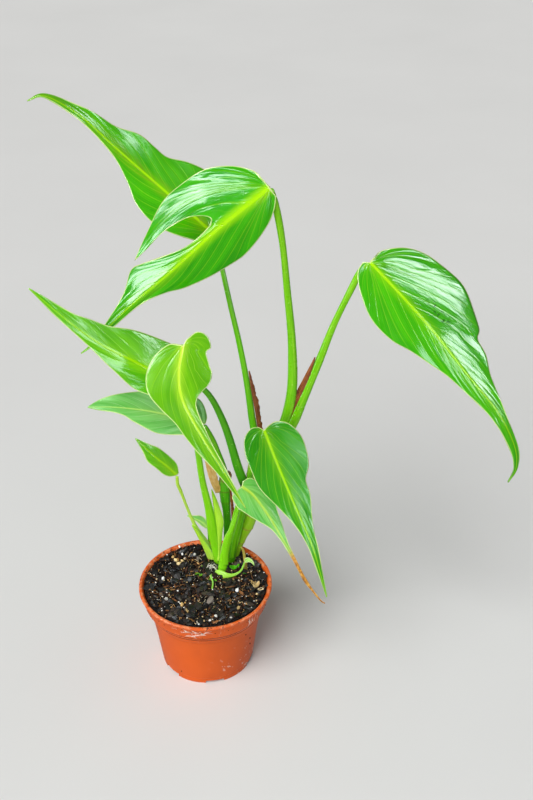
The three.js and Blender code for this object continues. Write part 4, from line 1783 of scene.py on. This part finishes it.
def leaves() -> list[Blade]:
    """List the leaf blades, from the top down."""
    return [
        Blade(
            "leaf_top_back", "blade", ("blade_top_back",), Green.TOP_BACK,
            spine=[(13, 48, 404), (-21, 60, 431), (-61, 74, 463), (-89, 84, 486), (-115, 90, 498.8),
                   (-129.8, 92, 494.8)],
            facing=[(0.2, -0.75, 0.6), (0.15, -0.8, 0.55), (0.1, -0.6, 0.9)],
            fold=[-10, -12, -4], curl=-0.25,
            right=[(-3, 9), (-1, 24), (10, 36), (26, 42), (39, 38), (53, 32), (66, 24), (79, 23), (94, 22),
                   (111, 14), (128, 10), (144, 6), (160, 4)],
            left=[(-5, 4), (-2, 11), (7, 14), (18, 19), (29, 23), (44, 25), (61, 22), (74, 15), (93, 7),
                  (112, 4), (144, 3)],
        ),
        Blade(
            "leaf_top_front", "blade", ("blade_top_front",), Green.TOP_FRONT,
            spine=[(57, -8, 464), (36, -12, 448), (16, -13, 431), (-16, -8, 398), (-45, 0, 369),
                   (-68, 10, 342), (-85, 18, 320), (-95, 22, 310)],
            facing=[(0.1, -0.85, 0.45), (0.05, -0.9, 0.4), (0, -0.9, 0.3)],
            fold=[-16, -16, -8], curl=-0.3,
            right=[(48.7, 7.4), (50.7, 5.8), (54.2, 5.3), (59, 5), (64.4, 5.1), (72.6, 5.9), (82.4, 7.8),
                   (101, 13.8), (119, 19.7), (130, 21), (146, 11), (178, 4), (200, 2)],
            left=[(0, 8), (8, 16), (19, 22), (42, 28), (62, 28), (100, 18), (117, 10), (137, 5), (175, 3)],
            lobe=Lobe(
                root=43,
                outer=[(0, 2), (1, 10), (3, 19), (14, 32), (33, 43), (55, 46), (75, 45), (99, 37),
                       (123, 25)],
                inner=[(48.7, 7.4), (47.8, 9), (48.6, 11.4), (51.1, 14.2), (55.6, 17.8), (62.2, 21.7),
                       (69.3, 24), (79.2, 26.1), (90.4, 27), (101, 26.5), (109, 25.8), (123, 25)],
            ),
        ),
        Blade(
            "leaf_mid_left", "blade", ("blade_mid_left",), Green.MIDDLE,
            spine=[(-8, -4, 294), (-27, -8, 307), (-50, -12, 324), (-72, -14, 339), (-94, -14, 358),
                   (-123, -10, 385)],
            facing=[(0.1, -0.7, 0.7), (0.1, -0.8, 0.55), (0.1, -0.8, 0.55)],
            fold=[-8, -10, -6], curl=-0.25,
            right=[(-4, 10), (-2, 22), (8, 29), (25, 28), (43, 26), (62, 22), (80, 16), (96, 12), (111, 7),
                   (135, 3)],
            left=[(-4, 6), (1, 12), (13, 16), (25, 18), (41, 19), (63, 13), (79, 8), (97, 5), (122, 3)],
        ),
        Blade(
            "leaf_center", "young_blade", ("blade_center",), Green.YOUNG,
            spine=[(-7, -40, 353), (-10, -52, 337), (-7, -64, 320), (8, -74, 292), (24, -80, 264),
                   (39, -84, 235)],
            facing=[(0, -0.8, 0.6), (0, -0.9, 0.45), (-0.1, -0.95, 0.3)],
            fold=[-6, -6, -6], curl=-0.25,
            right=[(0, 5), (1, 11), (10, 19), (19, 24), (25, 25), (32, 24), (42, 18), (54, 13), (69, 11),
                   (94, 7), (120, 3)],
            left=[(-5, 2), (-12, 9), (-10, 17), (-2, 21), (2, 18), (10, 22), (21, 25), (35, 21), (44, 11),
                  (52, 7), (70, 5), (95, 3)],
        ),
        Blade(
            "leaf_low_left", "pale_blade", ("blade_low_left",), Green.PALE,
            spine=[(2, 18, 243), (-13, 16, 250), (-41, 14, 259), (-68, 14, 263), (-93, 16, 262)],
            facing=[(0.1, -0.55, 0.8), (0.1, -0.6, 0.75), (0.1, -0.6, 0.75)],
            fold=[-6, -6, -4], curl=-0.3,
            right=[(-2, 2), (-2, 10), (6, 22), (24, 25), (41, 21), (62, 16), (81, 10), (91, 6)],
            left=[(-1, 3), (8, 11), (18, 14), (38, 17), (58, 11), (69, 6), (87, 3)],
            pitch=5.5, columns=20,
        ),
        Blade(
            "leaf_small_left", "blade", ("blade_small_left",), Green.MIDDLE,
            spine=[(-21, 2, 202), (-30, -3, 217), (-39, -6, 229), (-52, -8, 247)],
            facing=[(0.1, -0.75, 0.65), (0.1, -0.75, 0.65), (0.1, -0.75, 0.65)],
            fold=[-4, -6, -4], curl=-0.5,
            right=[(0, 3), (7, 7), (14, 8), (32, 8), (42, 5), (51, 2)],
            left=[(1, 1), (6, 5), (13, 7), (24, 7), (33, 7), (42, 4)],
            pitch=3.5, columns=14, thick=0.6, keel=0.6, cell=1.0, wave=0.15,
        ),
        Blade(
            "leaf_right_big", "blade", ("blade_right_big",), Green.RIGHT_BIG,
            spine=[(134, 14, 395), (157, 2, 374), (183, -10, 348), (211, -20, 315), (237, -26, 284),
                   (252.8, -28, 254), (257.4, -26, 231), (254, -22, 213)],
            facing=[(0.15, -0.85, 0.5), (0.2, -0.85, 0.45), (0.3, -0.85, 0.4)],
            fold=[-14, -14, -8], curl=-0.25,
            right=[(-4, 4), (-1, 12), (11, 21), (32, 29), (55, 29), (73, 23), (90, 18), (112, 12), (145, 8),
                   (172, 6), (199, 4)],
            left=[(0, 5), (0, 15), (10, 31), (26, 42), (46, 48), (64, 49), (82, 43), (98, 35), (103, 27),
                  (118, 24), (134, 15), (155, 7), (179, 4), (205, 3)],
        ),
        Blade(
            "leaf_right_center", "blade", ("blade_right_center",), Green.CENTRE,
            spine=[(53, -6, 254), (64, -22, 231), (78, -40, 203), (92, -54, 173), (99, -61, 150),
                   (105, -66, 127)],
            facing=[(0.05, -0.88, 0.48), (0.1, -0.9, 0.4), (0.15, -0.95, 0.3)],
            fold=[-6, -8, -6], curl=-0.3,
            right=[(-4, 3), (-5, 10), (1, 18), (13, 22), (27, 22), (44, 21), (66, 12), (81, 7), (98, 4),
                   (127, 2)],
            left=[(-2, 4), (-3, 12), (2, 21), (14, 27), (29, 27), (41, 24), (51, 17), (65, 15), (90, 7),
                  (110, 4)],
            pitch=6,
        ),
        Blade(
            "leaf_behind_center", "pale_blade", ("blade_behind_center",), Green.DRYING,
            spine=[(34, 0, 192), (44, -5, 186), (57, -14, 171), (67, -22, 156), (76, -26, 140),
                   (88, -32, 116), (101, -34, 95), (106, -34, 90)],
            facing=[(0.1, -0.75, 0.65), (0.2, -0.75, 0.6), (0.2, -0.75, 0.6)],
            fold=[-6, -6, -4], curl=-0.3,
            right=[(-1, 4), (-1, 12), (9, 17), (23, 14), (35, 9), (46, 4), (59, 2), (74, 1.6), (100, 1.2)],
            left=[(-2, 4), (1, 10), (11, 12), (23, 13), (35, 9), (45, 7), (61, 3), (72, 1.8), (100, 1.2)],
            pitch=5, columns=20,
        ),
        Blade(
            "leaf_seedling", "pale_blade", ("blade_seedling",), Green.PALE,
            spine=[(1, 44, 111), (-6, 46, 117), (-18, 48, 122)],
            facing=[(0.1, -0.6, 0.8), (0.1, -0.6, 0.8), (0.1, -0.6, 0.8)],
            fold=[4, 2, 0], curl=-0.6,
            right=[(1, 3), (10, 5), (16, 3)],
            left=[(1, 2), (7, 3), (13, 2)],
            pitch=2.5, columns=10, thick=0.5, keel=0.3, cell=0.8, wave=0.1,
        ),
        Blade(
            "leaf_shoot", "pale_blade", ("blade_shoot",), Green.PALE,
            spine=[(35, 13.4, 96.8), (38, 12, 100), (41.5, 10, 100), (44, 8.5, 96.5)],
            facing=[(0, -0.7, 0.7), (0.3, -0.7, 0.6), (0.6, -0.6, 0.5)],
            fold=[22, 16, 8], curl=-0.6,
            right=[(0, 0.8), (4, 2.6), (9, 1.4)],
            left=[(0, 0.8), (4, 2.2), (9, 1.2)],
            pitch=2, columns=10, thick=0.5, keel=0.3, cell=0.6, wave=0.1,
        ),
    ]


def stalks() -> list[Stalk]:
    """List the stems, the stalks, the ground shoot and the pale root, from the feet up."""
    stem = StalkFinish("stem_yellow_green", "98d41c", "98d41c", "c4e454", 0.42, ringed=0.7, ring="b08848")
    old_stem = StalkFinish("stem_old_green", "3c9e0c", "50b410", "8cd82c", 0.36, browned=0.9, ringed=0.5)
    lime = StalkFinish("stalk_lime", "68c000", "76c400", "b4e83c", 0.28)
    green = StalkFinish("stalk_green", "5cc004", "68c004", "a4e434", 0.3)
    dark = StalkFinish("stalk_dark_green", "389c08", "58b40c", "80cc28", 0.3, shaded=0.2)
    pale = StalkFinish("stalk_pale_green", "dcff74", "b0e41c", "ecfcb8", 0.34)
    shoot = StalkFinish("shoot_green", "a4d83c", "84c82c", "dcf4a0", 0.38)
    bright = StalkFinish("stalk_bright_green", "90e818", "60bc04", "b0e844", 0.3)
    root = StalkFinish("root_pale", "a0dc5c", "84cc3c", "d8f0a8", 0.45)
    return [
        Stalk(
            "stem_front", "stem", ("stem_main",), stem,
            path=[(24, 38, 66), (26, 40, 84), (32, 38, 105), (40, 34, 130), (43, 31, 153), (43, 28, 180),
                  (48, 26, 206), (56, 23, 226), (63, 21, 236)],
            half=[3.8, 4, 4.6, 5.8, 5.4, 6.2, 5.8, 6.4, 6.2, 4.5],
            rings=(0.2, 0.32, 0.42, 0.5, 0.6, 0.68, 0.78, 0.88),
        ),
        Stalk(
            "stem_old", "old_stem", ("stem_second",), old_stem,
            path=[(16, 43, 66), (17, 44, 84), (19, 42, 105), (19, 39, 130), (18, 37, 152), (18, 36, 170),
                  (21, 35, 182)],
            half=[3.4, 3.5, 3.4, 3.6, 3.5, 3.8, 4.8, 5.4, 4.4],
            rings=(0.7, 0.82, 0.92), groove=0.12,
        ),
        Stalk(
            "stalk_top_back", "petiole", ("petiole_top_back",), green,
            path=[(50, 25, 208), (46, 26, 224), (43, 27, 242), (39, 30, 275), (33, 33, 312), (26, 37, 346),
                  (20, 42, 375), (15, 46, 396), (13, 48.5, 403.5)],
            half=[3.2, 3.2, 2.9, 2.6, 2.4, 2.2, 2.1, 2, 2], groove=0.12,
        ),
        Stalk(
            "stalk_top_front", "petiole", ("petiole_top_front",), lime,
            path=[(60, 21, 220), (65, 20, 232), (72, 17, 254), (76, 14, 285), (75, 10, 329), (71, 5, 374),
                  (67, 0, 416), (62, -4, 447), (57.5, -6.5, 463)],
            half=[4, 4.2, 4.2, 3.9, 3.3, 3, 2.7, 2.5, 2.7, 2.5], groove=0.12,
        ),
        Stalk(
            "stalk_right_big", "petiole", ("petiole_right_big",), lime,
            path=[(58, 23, 206), (66, 20, 222), (77, 18, 246), (85, 17, 270), (97, 16, 305), (108, 15, 340),
                  (120, 14, 371), (127, 14.5, 387), (133.5, 15, 394)],
            half=[3.8, 4.6, 4.8, 4.3, 3.6, 3.2, 2.8, 2.5, 2.7, 2.5], groove=0.12,
        ),
        Stalk(
            "stalk_mid_left", "petiole", ("petiole_mid_left",), dark,
            path=[(41, 29, 160), (36, 26, 174), (30, 21, 198), (24, 15, 230), (18, 10, 255), (11, 4, 277),
                  (4, 0, 290), (-2, -1.5, 294), (-8, -3, 293.5)],
            half=[3.6, 4, 3.9, 3.6, 3.3, 3, 2.7, 2.4, 2.3], groove=0.15,
        ),
        Stalk(
            "stalk_low_left", "petiole", ("petiole_low_left",), green,
            path=[(20, 35, 172), (17, 32, 190), (13, 28, 208), (10, 25, 221), (6, 21, 234), (2.5, 19, 242)],
            half=[2.8, 2.7, 2.5, 2.2, 2, 1.9], groove=0.15,
        ),
        Stalk(
            "stalk_center", "petiole", ("petiole_center",), bright,
            path=[(10, 34, 66), (10, 32, 84), (7, 27, 116), (4, 20, 153), (0, 12, 188), (-2, 3, 223),
                  (-4, -7, 260), (-6, -22, 303), (-9, -34, 336), (-8.5, -39, 349), (-7, -38.5, 353)],
            half=[3.8, 4.2, 4.6, 3.6, 2.9, 2.7, 2.5, 2.3, 2.1, 2.2, 2.1],
            face=(0.1, -1, 0), flat=0.8, groove=0.2,
        ),
        Stalk(
            "stalk_small_left", "shoot", ("petiole_small_left",), pale,
            path=[(4, 40, 66), (3, 37, 84), (-4, 31, 111), (-10, 25, 131), (-15, 19, 154), (-19, 11, 178),
                  (-21, 6, 190), (-20.8, 2.5, 201.5)],
            half=[3.6, 3.9, 3.6, 2.1, 1.5, 1.3, 1.3, 1.5, 1.3], face=(0.1, -1, 0), flat=0.8, groove=0.15,
        ),
        Stalk(
            "stalk_right_center", "petiole", ("petiole_right_center",), green,
            path=[(22, 35, 66), (22.5, 34, 86), (28, 30, 114), (33, 26, 141), (38, 20, 173), (43, 12, 206),
                  (48, 3, 235), (51, -4, 249), (53, -5.5, 253.5)],
            half=[3.6, 3.9, 3.7, 3.2, 2.7, 2.4, 2.2, 2, 2.1, 2], groove=0.2,
        ),
        Stalk(
            "stalk_behind_center", "petiole", ("petiole_behind_center",), bright,
            path=[(13, 23, 66), (15, 22, 84), (18, 20, 107), (23, 17, 129), (28, 12, 155), (32, 6, 175),
                  (33.5, 2, 187), (34.5, 1, 191.5)],
            half=[4, 4.3, 4.1, 3.3, 2.4, 1.9, 1.8, 1.7, 1.7], groove=0.2,
        ),
        Stalk(
            "stalk_seedling", "petiole", ("petiole_seedling",), green,
            path=[(1, 48, 68), (1, 49, 82), (1, 49, 93), (1, 46.5, 105), (0.8, 44.5, 110.6)],
            half=[0.9, 0.9, 0.8, 0.8, 0.8], sides=14,
        ),
        Stalk(
            "shoot_ground", "shoot", ("ground_shoot",), shoot,
            path=[(8, 20, 73), (11, 15.5, 80), (19, 10, 83), (26, 9.4, 84.6), (31.6, 11, 87.8),
                  (34.3, 13, 93), (35, 13.6, 96.2)],
            half=[0.8, 4.0, 3.7, 2.0, 1.1, 0.9, 0.8], face=(0.1, -0.9, 0.5), flat=0.55, groove=0.2,
        ),
        Stalk(
            "root_pale", "root", ("pale_root",), root,
            path=[(4.4, 17, 78.5), (4.4, 10, 81), (6.4, 3, 80.6), (6.2, -4, 80.8), (5.6, -9, 79)],
            half=[1.2, 1.1, 0.9, 0.8, 0.7], sides=14, step=1.0,
        ),
    ]


def husk(name: str, node: str, finish: Dry, path: list[Point], half: list[float], face: Point,
         **more: float) -> Strip:
    """Lay a dry sheath's two edges either side of a path.

    Args:
        name: the piece's name.
        node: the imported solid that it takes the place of.
        finish: its finish.
        path: its middle, from the foot up.
        half: half widths, one for each point of the path.
        face: where it looks.
        more: further sizes of the strip.

    Returns:
        The strip.
    """
    line = np.array(path, float)
    _, right = frames(unit(np.gradient(line, axis=0)), np.array(face, float))
    edges = [line + side * right * np.array(half)[:, None] for side in (-1, 1)]
    slot = "tan_sheath" if finish is not Dry.RED else "dry_sheath"
    inner, outer = [[tuple(point) for point in edge] for edge in edges]
    return Strip(name, slot, (node,), finish, inner, outer, face=face, **more)


def sheaths() -> list[Strip]:
    """List the green wings at the feet of the stalks and the dry sheaths."""
    wing = StalkFinish("sheath_lime", "ccfa54", "aef020", "dcfc74", 0.34, ringed=0.8, ring="f4facc")
    deep_wing = StalkFinish("sheath_green", "88e018", "6cc408", "a0e030", 0.32, ringed=0.8, ring="d8f090")
    return [
        Strip("wing_center", "petiole", (), wing,
              inner=[(9.5, 29, 84), (9.5, 28, 97), (9, 24, 130), (8, 21, 155), (6.9, 20, 173)],
              outer=[(13, 30, 84), (13.4, 29, 98), (15.2, 26, 121), (16.5, 24, 137), (11.4, 22, 160),
                     (7.1, 20, 174)]),
        Strip("wing_small_left", "shoot", (), wing,
              inner=[(1, 33, 83), (-5.4, 28, 108), (-12, 24, 130)],
              outer=[(8.2, 32, 83), (4, 30, 96), (-1, 28, 108.5), (-7.6, 25, 125), (-11.6, 24, 131)]),
        Strip("wing_behind_center", "petiole", (), deep_wing,
              inner=[(20, 19, 88), (21, 17.5, 106), (25, 15, 127), (28.6, 12, 142), (31.6, 10, 159)],
              outer=[(12, 21, 88), (14, 19, 107), (17.6, 17, 123), (22.2, 15, 134), (25.8, 12, 147),
                     (29.6, 10, 161)],
              bulge=1.6),
        Strip("wing_right_center", "petiole", (), deep_wing,
              inner=[(24.6, 28.4, 88), (27.2, 25.6, 110), (31.2, 21.6, 131), (35, 18, 150)],
              outer=[(21.4, 29, 88), (24.4, 26, 111), (28.4, 22, 133), (32.4, 18, 153)], bulge=0.6),
        husk("husk_tall", "sheath_tall", Dry.RED,
             [(73, 16, 240), (76, 15.4, 254), (81, 15, 271), (87, 14.5, 290), (94, 14, 311)],
             [1.8, 3.8, 3.9, 2.2, 0.4], (0, -1, 0.3), bulge=0.5, ragged=0.3),
        husk("husk_back", "sheath_back", Dry.RED,
             [(52, 21.5, 228), (49.5, 23, 238), (47, 25, 255), (43.6, 27.4, 273), (40.6, 29.4, 289)],
             [1.8, 2.2, 2.1, 1.6, 0.4], (0.3, -1, 0.2), bulge=0.5, ragged=0.35),
        husk("husk_low", "sheath_low", Dry.RED,
             [(23, 39, 84), (24.5, 37, 104), (24.5, 35, 128), (24, 34, 148), (22.6, 34, 167)],
             [0.8, 1.2, 1.3, 1.1, 0.4], (0.2, -1, 0), bulge=0.4, ragged=0.35),
        husk("husk_tan", "cataphyll", Dry.TAN,
             [(12.5, 33.5, 160), (9.5, 32, 172), (7, 31, 184), (4.5, 30, 197)],
             [3, 3.7, 3.8, 3.0], (-0.1, -1, 0.2), bulge=0.5, ragged=0.15),
        husk("husk_straw", "dry_strip", Dry.STRAW,
             [(36, 22, 77), (36, 19.5, 86), (35.4, 18.5, 94), (34.4, 20, 102), (32.2, 21.5, 107.5)],
             [1.3, 1.4, 1.3, 1.1, 0.5], (0, -1, 0.3), bulge=0.4, ragged=0.3),
    ]


def fibre_lines(count: int, length: Flat, seed: int) -> list[list[Point]]:
    """Scatter fibres over the soil.

    Args:
        count: how many.
        length: the least and greatest length, in millimetres.
        seed: the number that the scatter starts from.

    Returns:
        Each fibre's points.
    """
    dice = random.Random(seed)
    lines = []
    for _ in range(count):
        far = (SOIL_RADIUS - 5) * math.sqrt(dice.random())
        turn = dice.uniform(0, 2 * math.pi)
        heading = dice.uniform(0, 2 * math.pi)
        step = dice.uniform(*length) / 3
        x, y = far * math.cos(turn), far * math.sin(turn)
        line = []
        for _ in range(4):
            line.append((x, y, soil_height(x, y) + 1.1 + dice.uniform(-0.6, 0.9)))
            heading += dice.gauss(0, 0.45)
            x, y = x + step * math.cos(heading), y + step * math.sin(heading)
            if math.hypot(x, y) > SOIL_RADIUS - 1:
                break
        if len(line) > 2:
            lines.append(line)
    return lines


def foot_hairs() -> list[list[Point]]:
    """Draw the fine whitish hair roots at the foot of the middle stalks."""
    dice = random.Random(SEED)
    lines = []
    for _ in range(34):
        x, y = FOOT_HAIRS_AT[0] + dice.gauss(0, 0.9), FOOT_HAIRS_AT[1] + dice.gauss(0, 0.7)
        turn = dice.uniform(0.8 * math.pi, 2.1 * math.pi)
        reach = dice.uniform(1.0, 2.0) ** 3 * 0.8
        top = (x, y, 83.5 + dice.uniform(-1, 3))
        bend = top[2] + dice.uniform(-1.2, 0.8)
        knee = (x + 0.5 * reach * math.cos(turn), y + 0.5 * reach * math.sin(turn), bend)
        end = (x + reach * math.cos(turn), y + reach * math.sin(turn), 80.6 + dice.uniform(0, 1.6))
        lines.append([top, knee, end])
    return lines


def husk_fibres() -> list[list[Point]]:
    """Draw the torn fibres that stand off the dry sheaths of the tall stalks."""
    dice = random.Random(SEED + 2)
    lines = []
    for foot, top in HUSK_FIBRES_AT:
        for _ in range(9):
            share = dice.random()
            x, y, z = (low + (high - low) * share for low, high in zip(foot, top))
            lean = dice.uniform(-2.2, 2.2)
            rise = dice.uniform(-5, 5)
            knee = (x + 0.6 * lean, y - 0.9, z + 0.5 * rise)
            lines.append([(x, y, z), knee, (x + lean, y - 0.6, z + rise)])
    return lines


def pot_radius(height: float) -> float:
    """Read the radius of the pot's outside near its rim, at a height in millimetres."""
    return float(np.interp(height, BAND_HEIGHTS, BAND_RADII))


def on_pot(turn: float, height: float, out: float) -> Point:
    """Find a point just off the pot's outside, at a turn in radians and a height in millimetres."""
    radius = pot_radius(height) + out
    return (radius * math.cos(turn), radius * math.sin(turn), height)


def rim_hairs() -> list[list[Point]]:
    """Draw the fine dry roots that cling to the band of the pot, in front and at the right."""
    dice = random.Random(SEED + 1)
    lines = []
    for _ in range(40):
        turn, height = -1.72 + dice.gauss(0, 0.1), 75.5 + dice.gauss(0, 2.6)
        heading, step = dice.uniform(0, 2 * math.pi), dice.uniform(0.6, 3.2)
        line = []
        for _ in range(4):
            line.append(on_pot(turn, min(80.2, max(65.0, height)), 0.2))
            turn, height = turn + step * math.cos(heading) / 56, height + 0.6 * step * math.sin(heading)
            heading += dice.gauss(0, 0.5)
        lines.append(line)
    for _ in range(14):
        turn, height, drop = -0.72 + dice.gauss(0, 0.07), dice.uniform(72, 80.4), dice.uniform(3, 10)
        spots = [(turn + dice.uniform(-0.008, 0.008), max(61.0, height - drop * i / 3)) for i in range(4)]
        lines.append([on_pot(angle, z, 0.2) for angle, z in spots])
    return lines


def pot_specks() -> list[list[Point]]:
    """Draw the specks of soil that stick to the rim's edge and the band."""
    dice = random.Random(SEED + 3)
    lines = []
    for _ in range(46):
        turn = dice.uniform(-2.9, -0.2)
        height = dice.choice(SPECK_HEIGHTS) + dice.uniform(-1.5, 0.6)
        lines.append([on_pot(turn + 0.006 * i, height + 0.3 * i, 0.05) for i in range(3)])
    for turn, height in STUCK_SOIL:
        for k in range(3):
            lines.append([on_pot(turn + 0.008 * i, height + 0.3 * i + 0.4 * k, 0.08) for i in range(3)])
    return lines


def ground() -> list[Piece]:
    """List what lies in the pot: the bed and everything loose on it."""
    peat = GrainFinish("peat", ((0.1, "040302"), (0.45, "0e0806"), (0.7, "24150c"), (0.95, "553620")), 0.8,
                       shine=0.3)
    bark = GrainFinish("bark_black", ((0.1, "060505"), (0.5, "141110"), (0.8, "2c2623"), (0.98, "6a5a4c")),
                       0.42, 0.3, 500, 0.5)
    sliver = GrainFinish("bark_brown", ((0.1, "1a0c06"), (0.5, "4c2612"), (0.8, "8c5a2c"), (0.98, "d8b078")),
                         0.65, 0.3, 600)
    speck = GrainFinish("specks", ((0.1, "4a2c16"), (0.4, "a8763c"), (0.65, "e0c490"), (0.85, "fffaf0")),
                        0.6, 0.2)
    white = GrainFinish("perlite", ((0.1, "c8c4b8"), (0.6, "f2f0ea"), (0.9, "ffffff")), 0.75, 0.3, 1400)
    tan = GrainFinish("tan_grit", ((0.1, "b07c3c"), (0.5, "e0b068"), (0.9, "f8e0a8")), 0.5, 0.2, 900)
    fibre = GrainFinish("fibres", ((0.1, "3a1c0e"), (0.5, "84501f"), (0.9, "cc9c60")), 0.7, 0.05)
    moss = GrainFinish("moss", ((0.1, "3c7c08"), (0.5, "6cb010"), (0.9, "a4d838")), 0.7, 0.2)
    scrap = GrainFinish("green_scrap", ((0.1, "3c9c0c"), (0.5, "66c814"), (0.9, "98e030")), 0.4, 0.1)
    curl = GrainFinish("dry_leaf", ((0.1, "a8843c"), (0.5, "dcc48c"), (0.9, "f6ecd0")), 0.6, 0.2)
    grey = GrainFinish("grey_bark", ((0.1, "161210"), (0.5, "342e2a"), (0.9, "8a7e74")), 0.45, 0.8, 300)
    hair = GrainFinish("hair_roots", ((0.1, "d8d0b8"), (0.5, "eee8dc"), (0.9, "fffdf6")), 0.6, 0.03)
    return [
        SoilBed("soil_bed", "soil", ("soil",), peat),
        Grains("soil_crumbs", "soil", (), peat, 3600, (0.9, 3.8), angular=0.34, sunk=0.1),
        Grains("soil_bark", "soil", (), bark, 560, (1.8, 7.0), (1.5, 0.95, 0.6), seed=23, sunk=0.0,
               angular=0.4),
        Grains("soil_slivers", "soil", (), sliver, 330, (1.2, 5.0), (1.9, 0.4, 0.3), seed=31, sunk=-0.2,
               angular=0.25),
        Grains("soil_specks", "soil", (), speck, 760, (0.5, 1.6), (1.3, 0.9, 0.8), seed=37, sunk=-1.1),
        Grains("soil_perlite", "soil", (), white, 80, (0.6, 1.9), (1.1, 1.0, 0.9), seed=41, sunk=-0.7,
               spots=[(-11.8, 39.3, 3), (-39, 6, 3.2), (-34, -21, 3.4), (28.6, -9.8, 3.6), (11, -42.8, 3.2),
                      (-26.5, 47, 2.4), (6, -49, 2.4), (24, -46, 2.2)]),
        Grains("soil_grit", "soil", (), tan, 60, (0.7, 2.2), (1.2, 1.0, 0.8), seed=43, sunk=-0.6,
               spots=[(-32, 35, 3), (-29, 31, 3.4), (-26, 27, 3.6), (-23.4, 32, 3), (-28, 35, 2.6),
                      (-25, 29, 2.4), (-19.6, -27.8, 3.8), (-24.6, -32.8, 2.6), (-17, -25, 2.2)]),
        Grains("soil_grey_bark", "soil", (), grey, 30, (2.5, 6.0), (1.5, 0.9, 0.6), seed=47, sunk=0.05,
               radius=46, angular=0.42,
               spots=[(-4.7, -8.5, 8), (5.3, -12.4, 6), (4.8, -21.4, 7), (11.6, -35.4, 5), (15.3, -15, 6)]),
        Threads("soil_fibres", "soil", (), fibre, fibre_lines(280, (3, 12), 53), (0.12, 0.34)),
        Threads("soil_pale_fibres", "soil", (), curl, fibre_lines(90, (2, 8), 59), (0.1, 0.24)),
        Scraps("soil_moss", "soil", (), moss,
               [(-7.7, 14.3, 4.5), (-5, 12, 3.5), (-3.6, 25, 3), (34.4, 15.6, 4), (3, 8, 3), (31, 8, 3),
                (1, 18, 3), (9, 5, 3)]),
        Scraps("soil_green_scrap", "soil", (), scrap, [(25, 22.5, 6.5), (28, 23, 4.5), (22.6, 25, 3.5)],
               bend=2.4),
        Scraps("soil_leaf_curls", "soil", (), curl,
               [(44, 1, 5), (46, -5, 6.5), (49, -7, 5), (41, 4, 3.5), (38, -2, 3), (-14, -35, 4),
                (30, -32, 3)], bend=2.8),
        Threads("foot_hair_roots", "root", (), hair, foot_hairs(), (0.1, 0.22)),
        Threads("husk_fibres", "dry_sheath", (), fibre, husk_fibres(), (0.1, 0.2)),
        Threads("rim_hair_roots", "root", (), hair, rim_hairs(), (0.08, 0.17)),
        Threads("rim_soil_specks", "soil", (), peat, pot_specks(), (0.2, 0.5)),
    ]


def main() -> None:
    """Build the plant, its pot and the studio, and report each piece."""
    logging.basicConfig(level=logging.INFO, format="%(message)s")
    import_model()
    Studio().build()
    pot = Pot("pot_terracotta", "pot", ("pot",), PotFinish())
    pieces = [*leaves(), *stalks(), *sheaths(), pot, *ground()]
    for piece in pieces:
        made = piece.build()
        piece.dress(made)
        log.info("%s: %d corners", piece.name, len(made.data.vertices))
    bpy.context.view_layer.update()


if __name__ == "__main__":
    main()
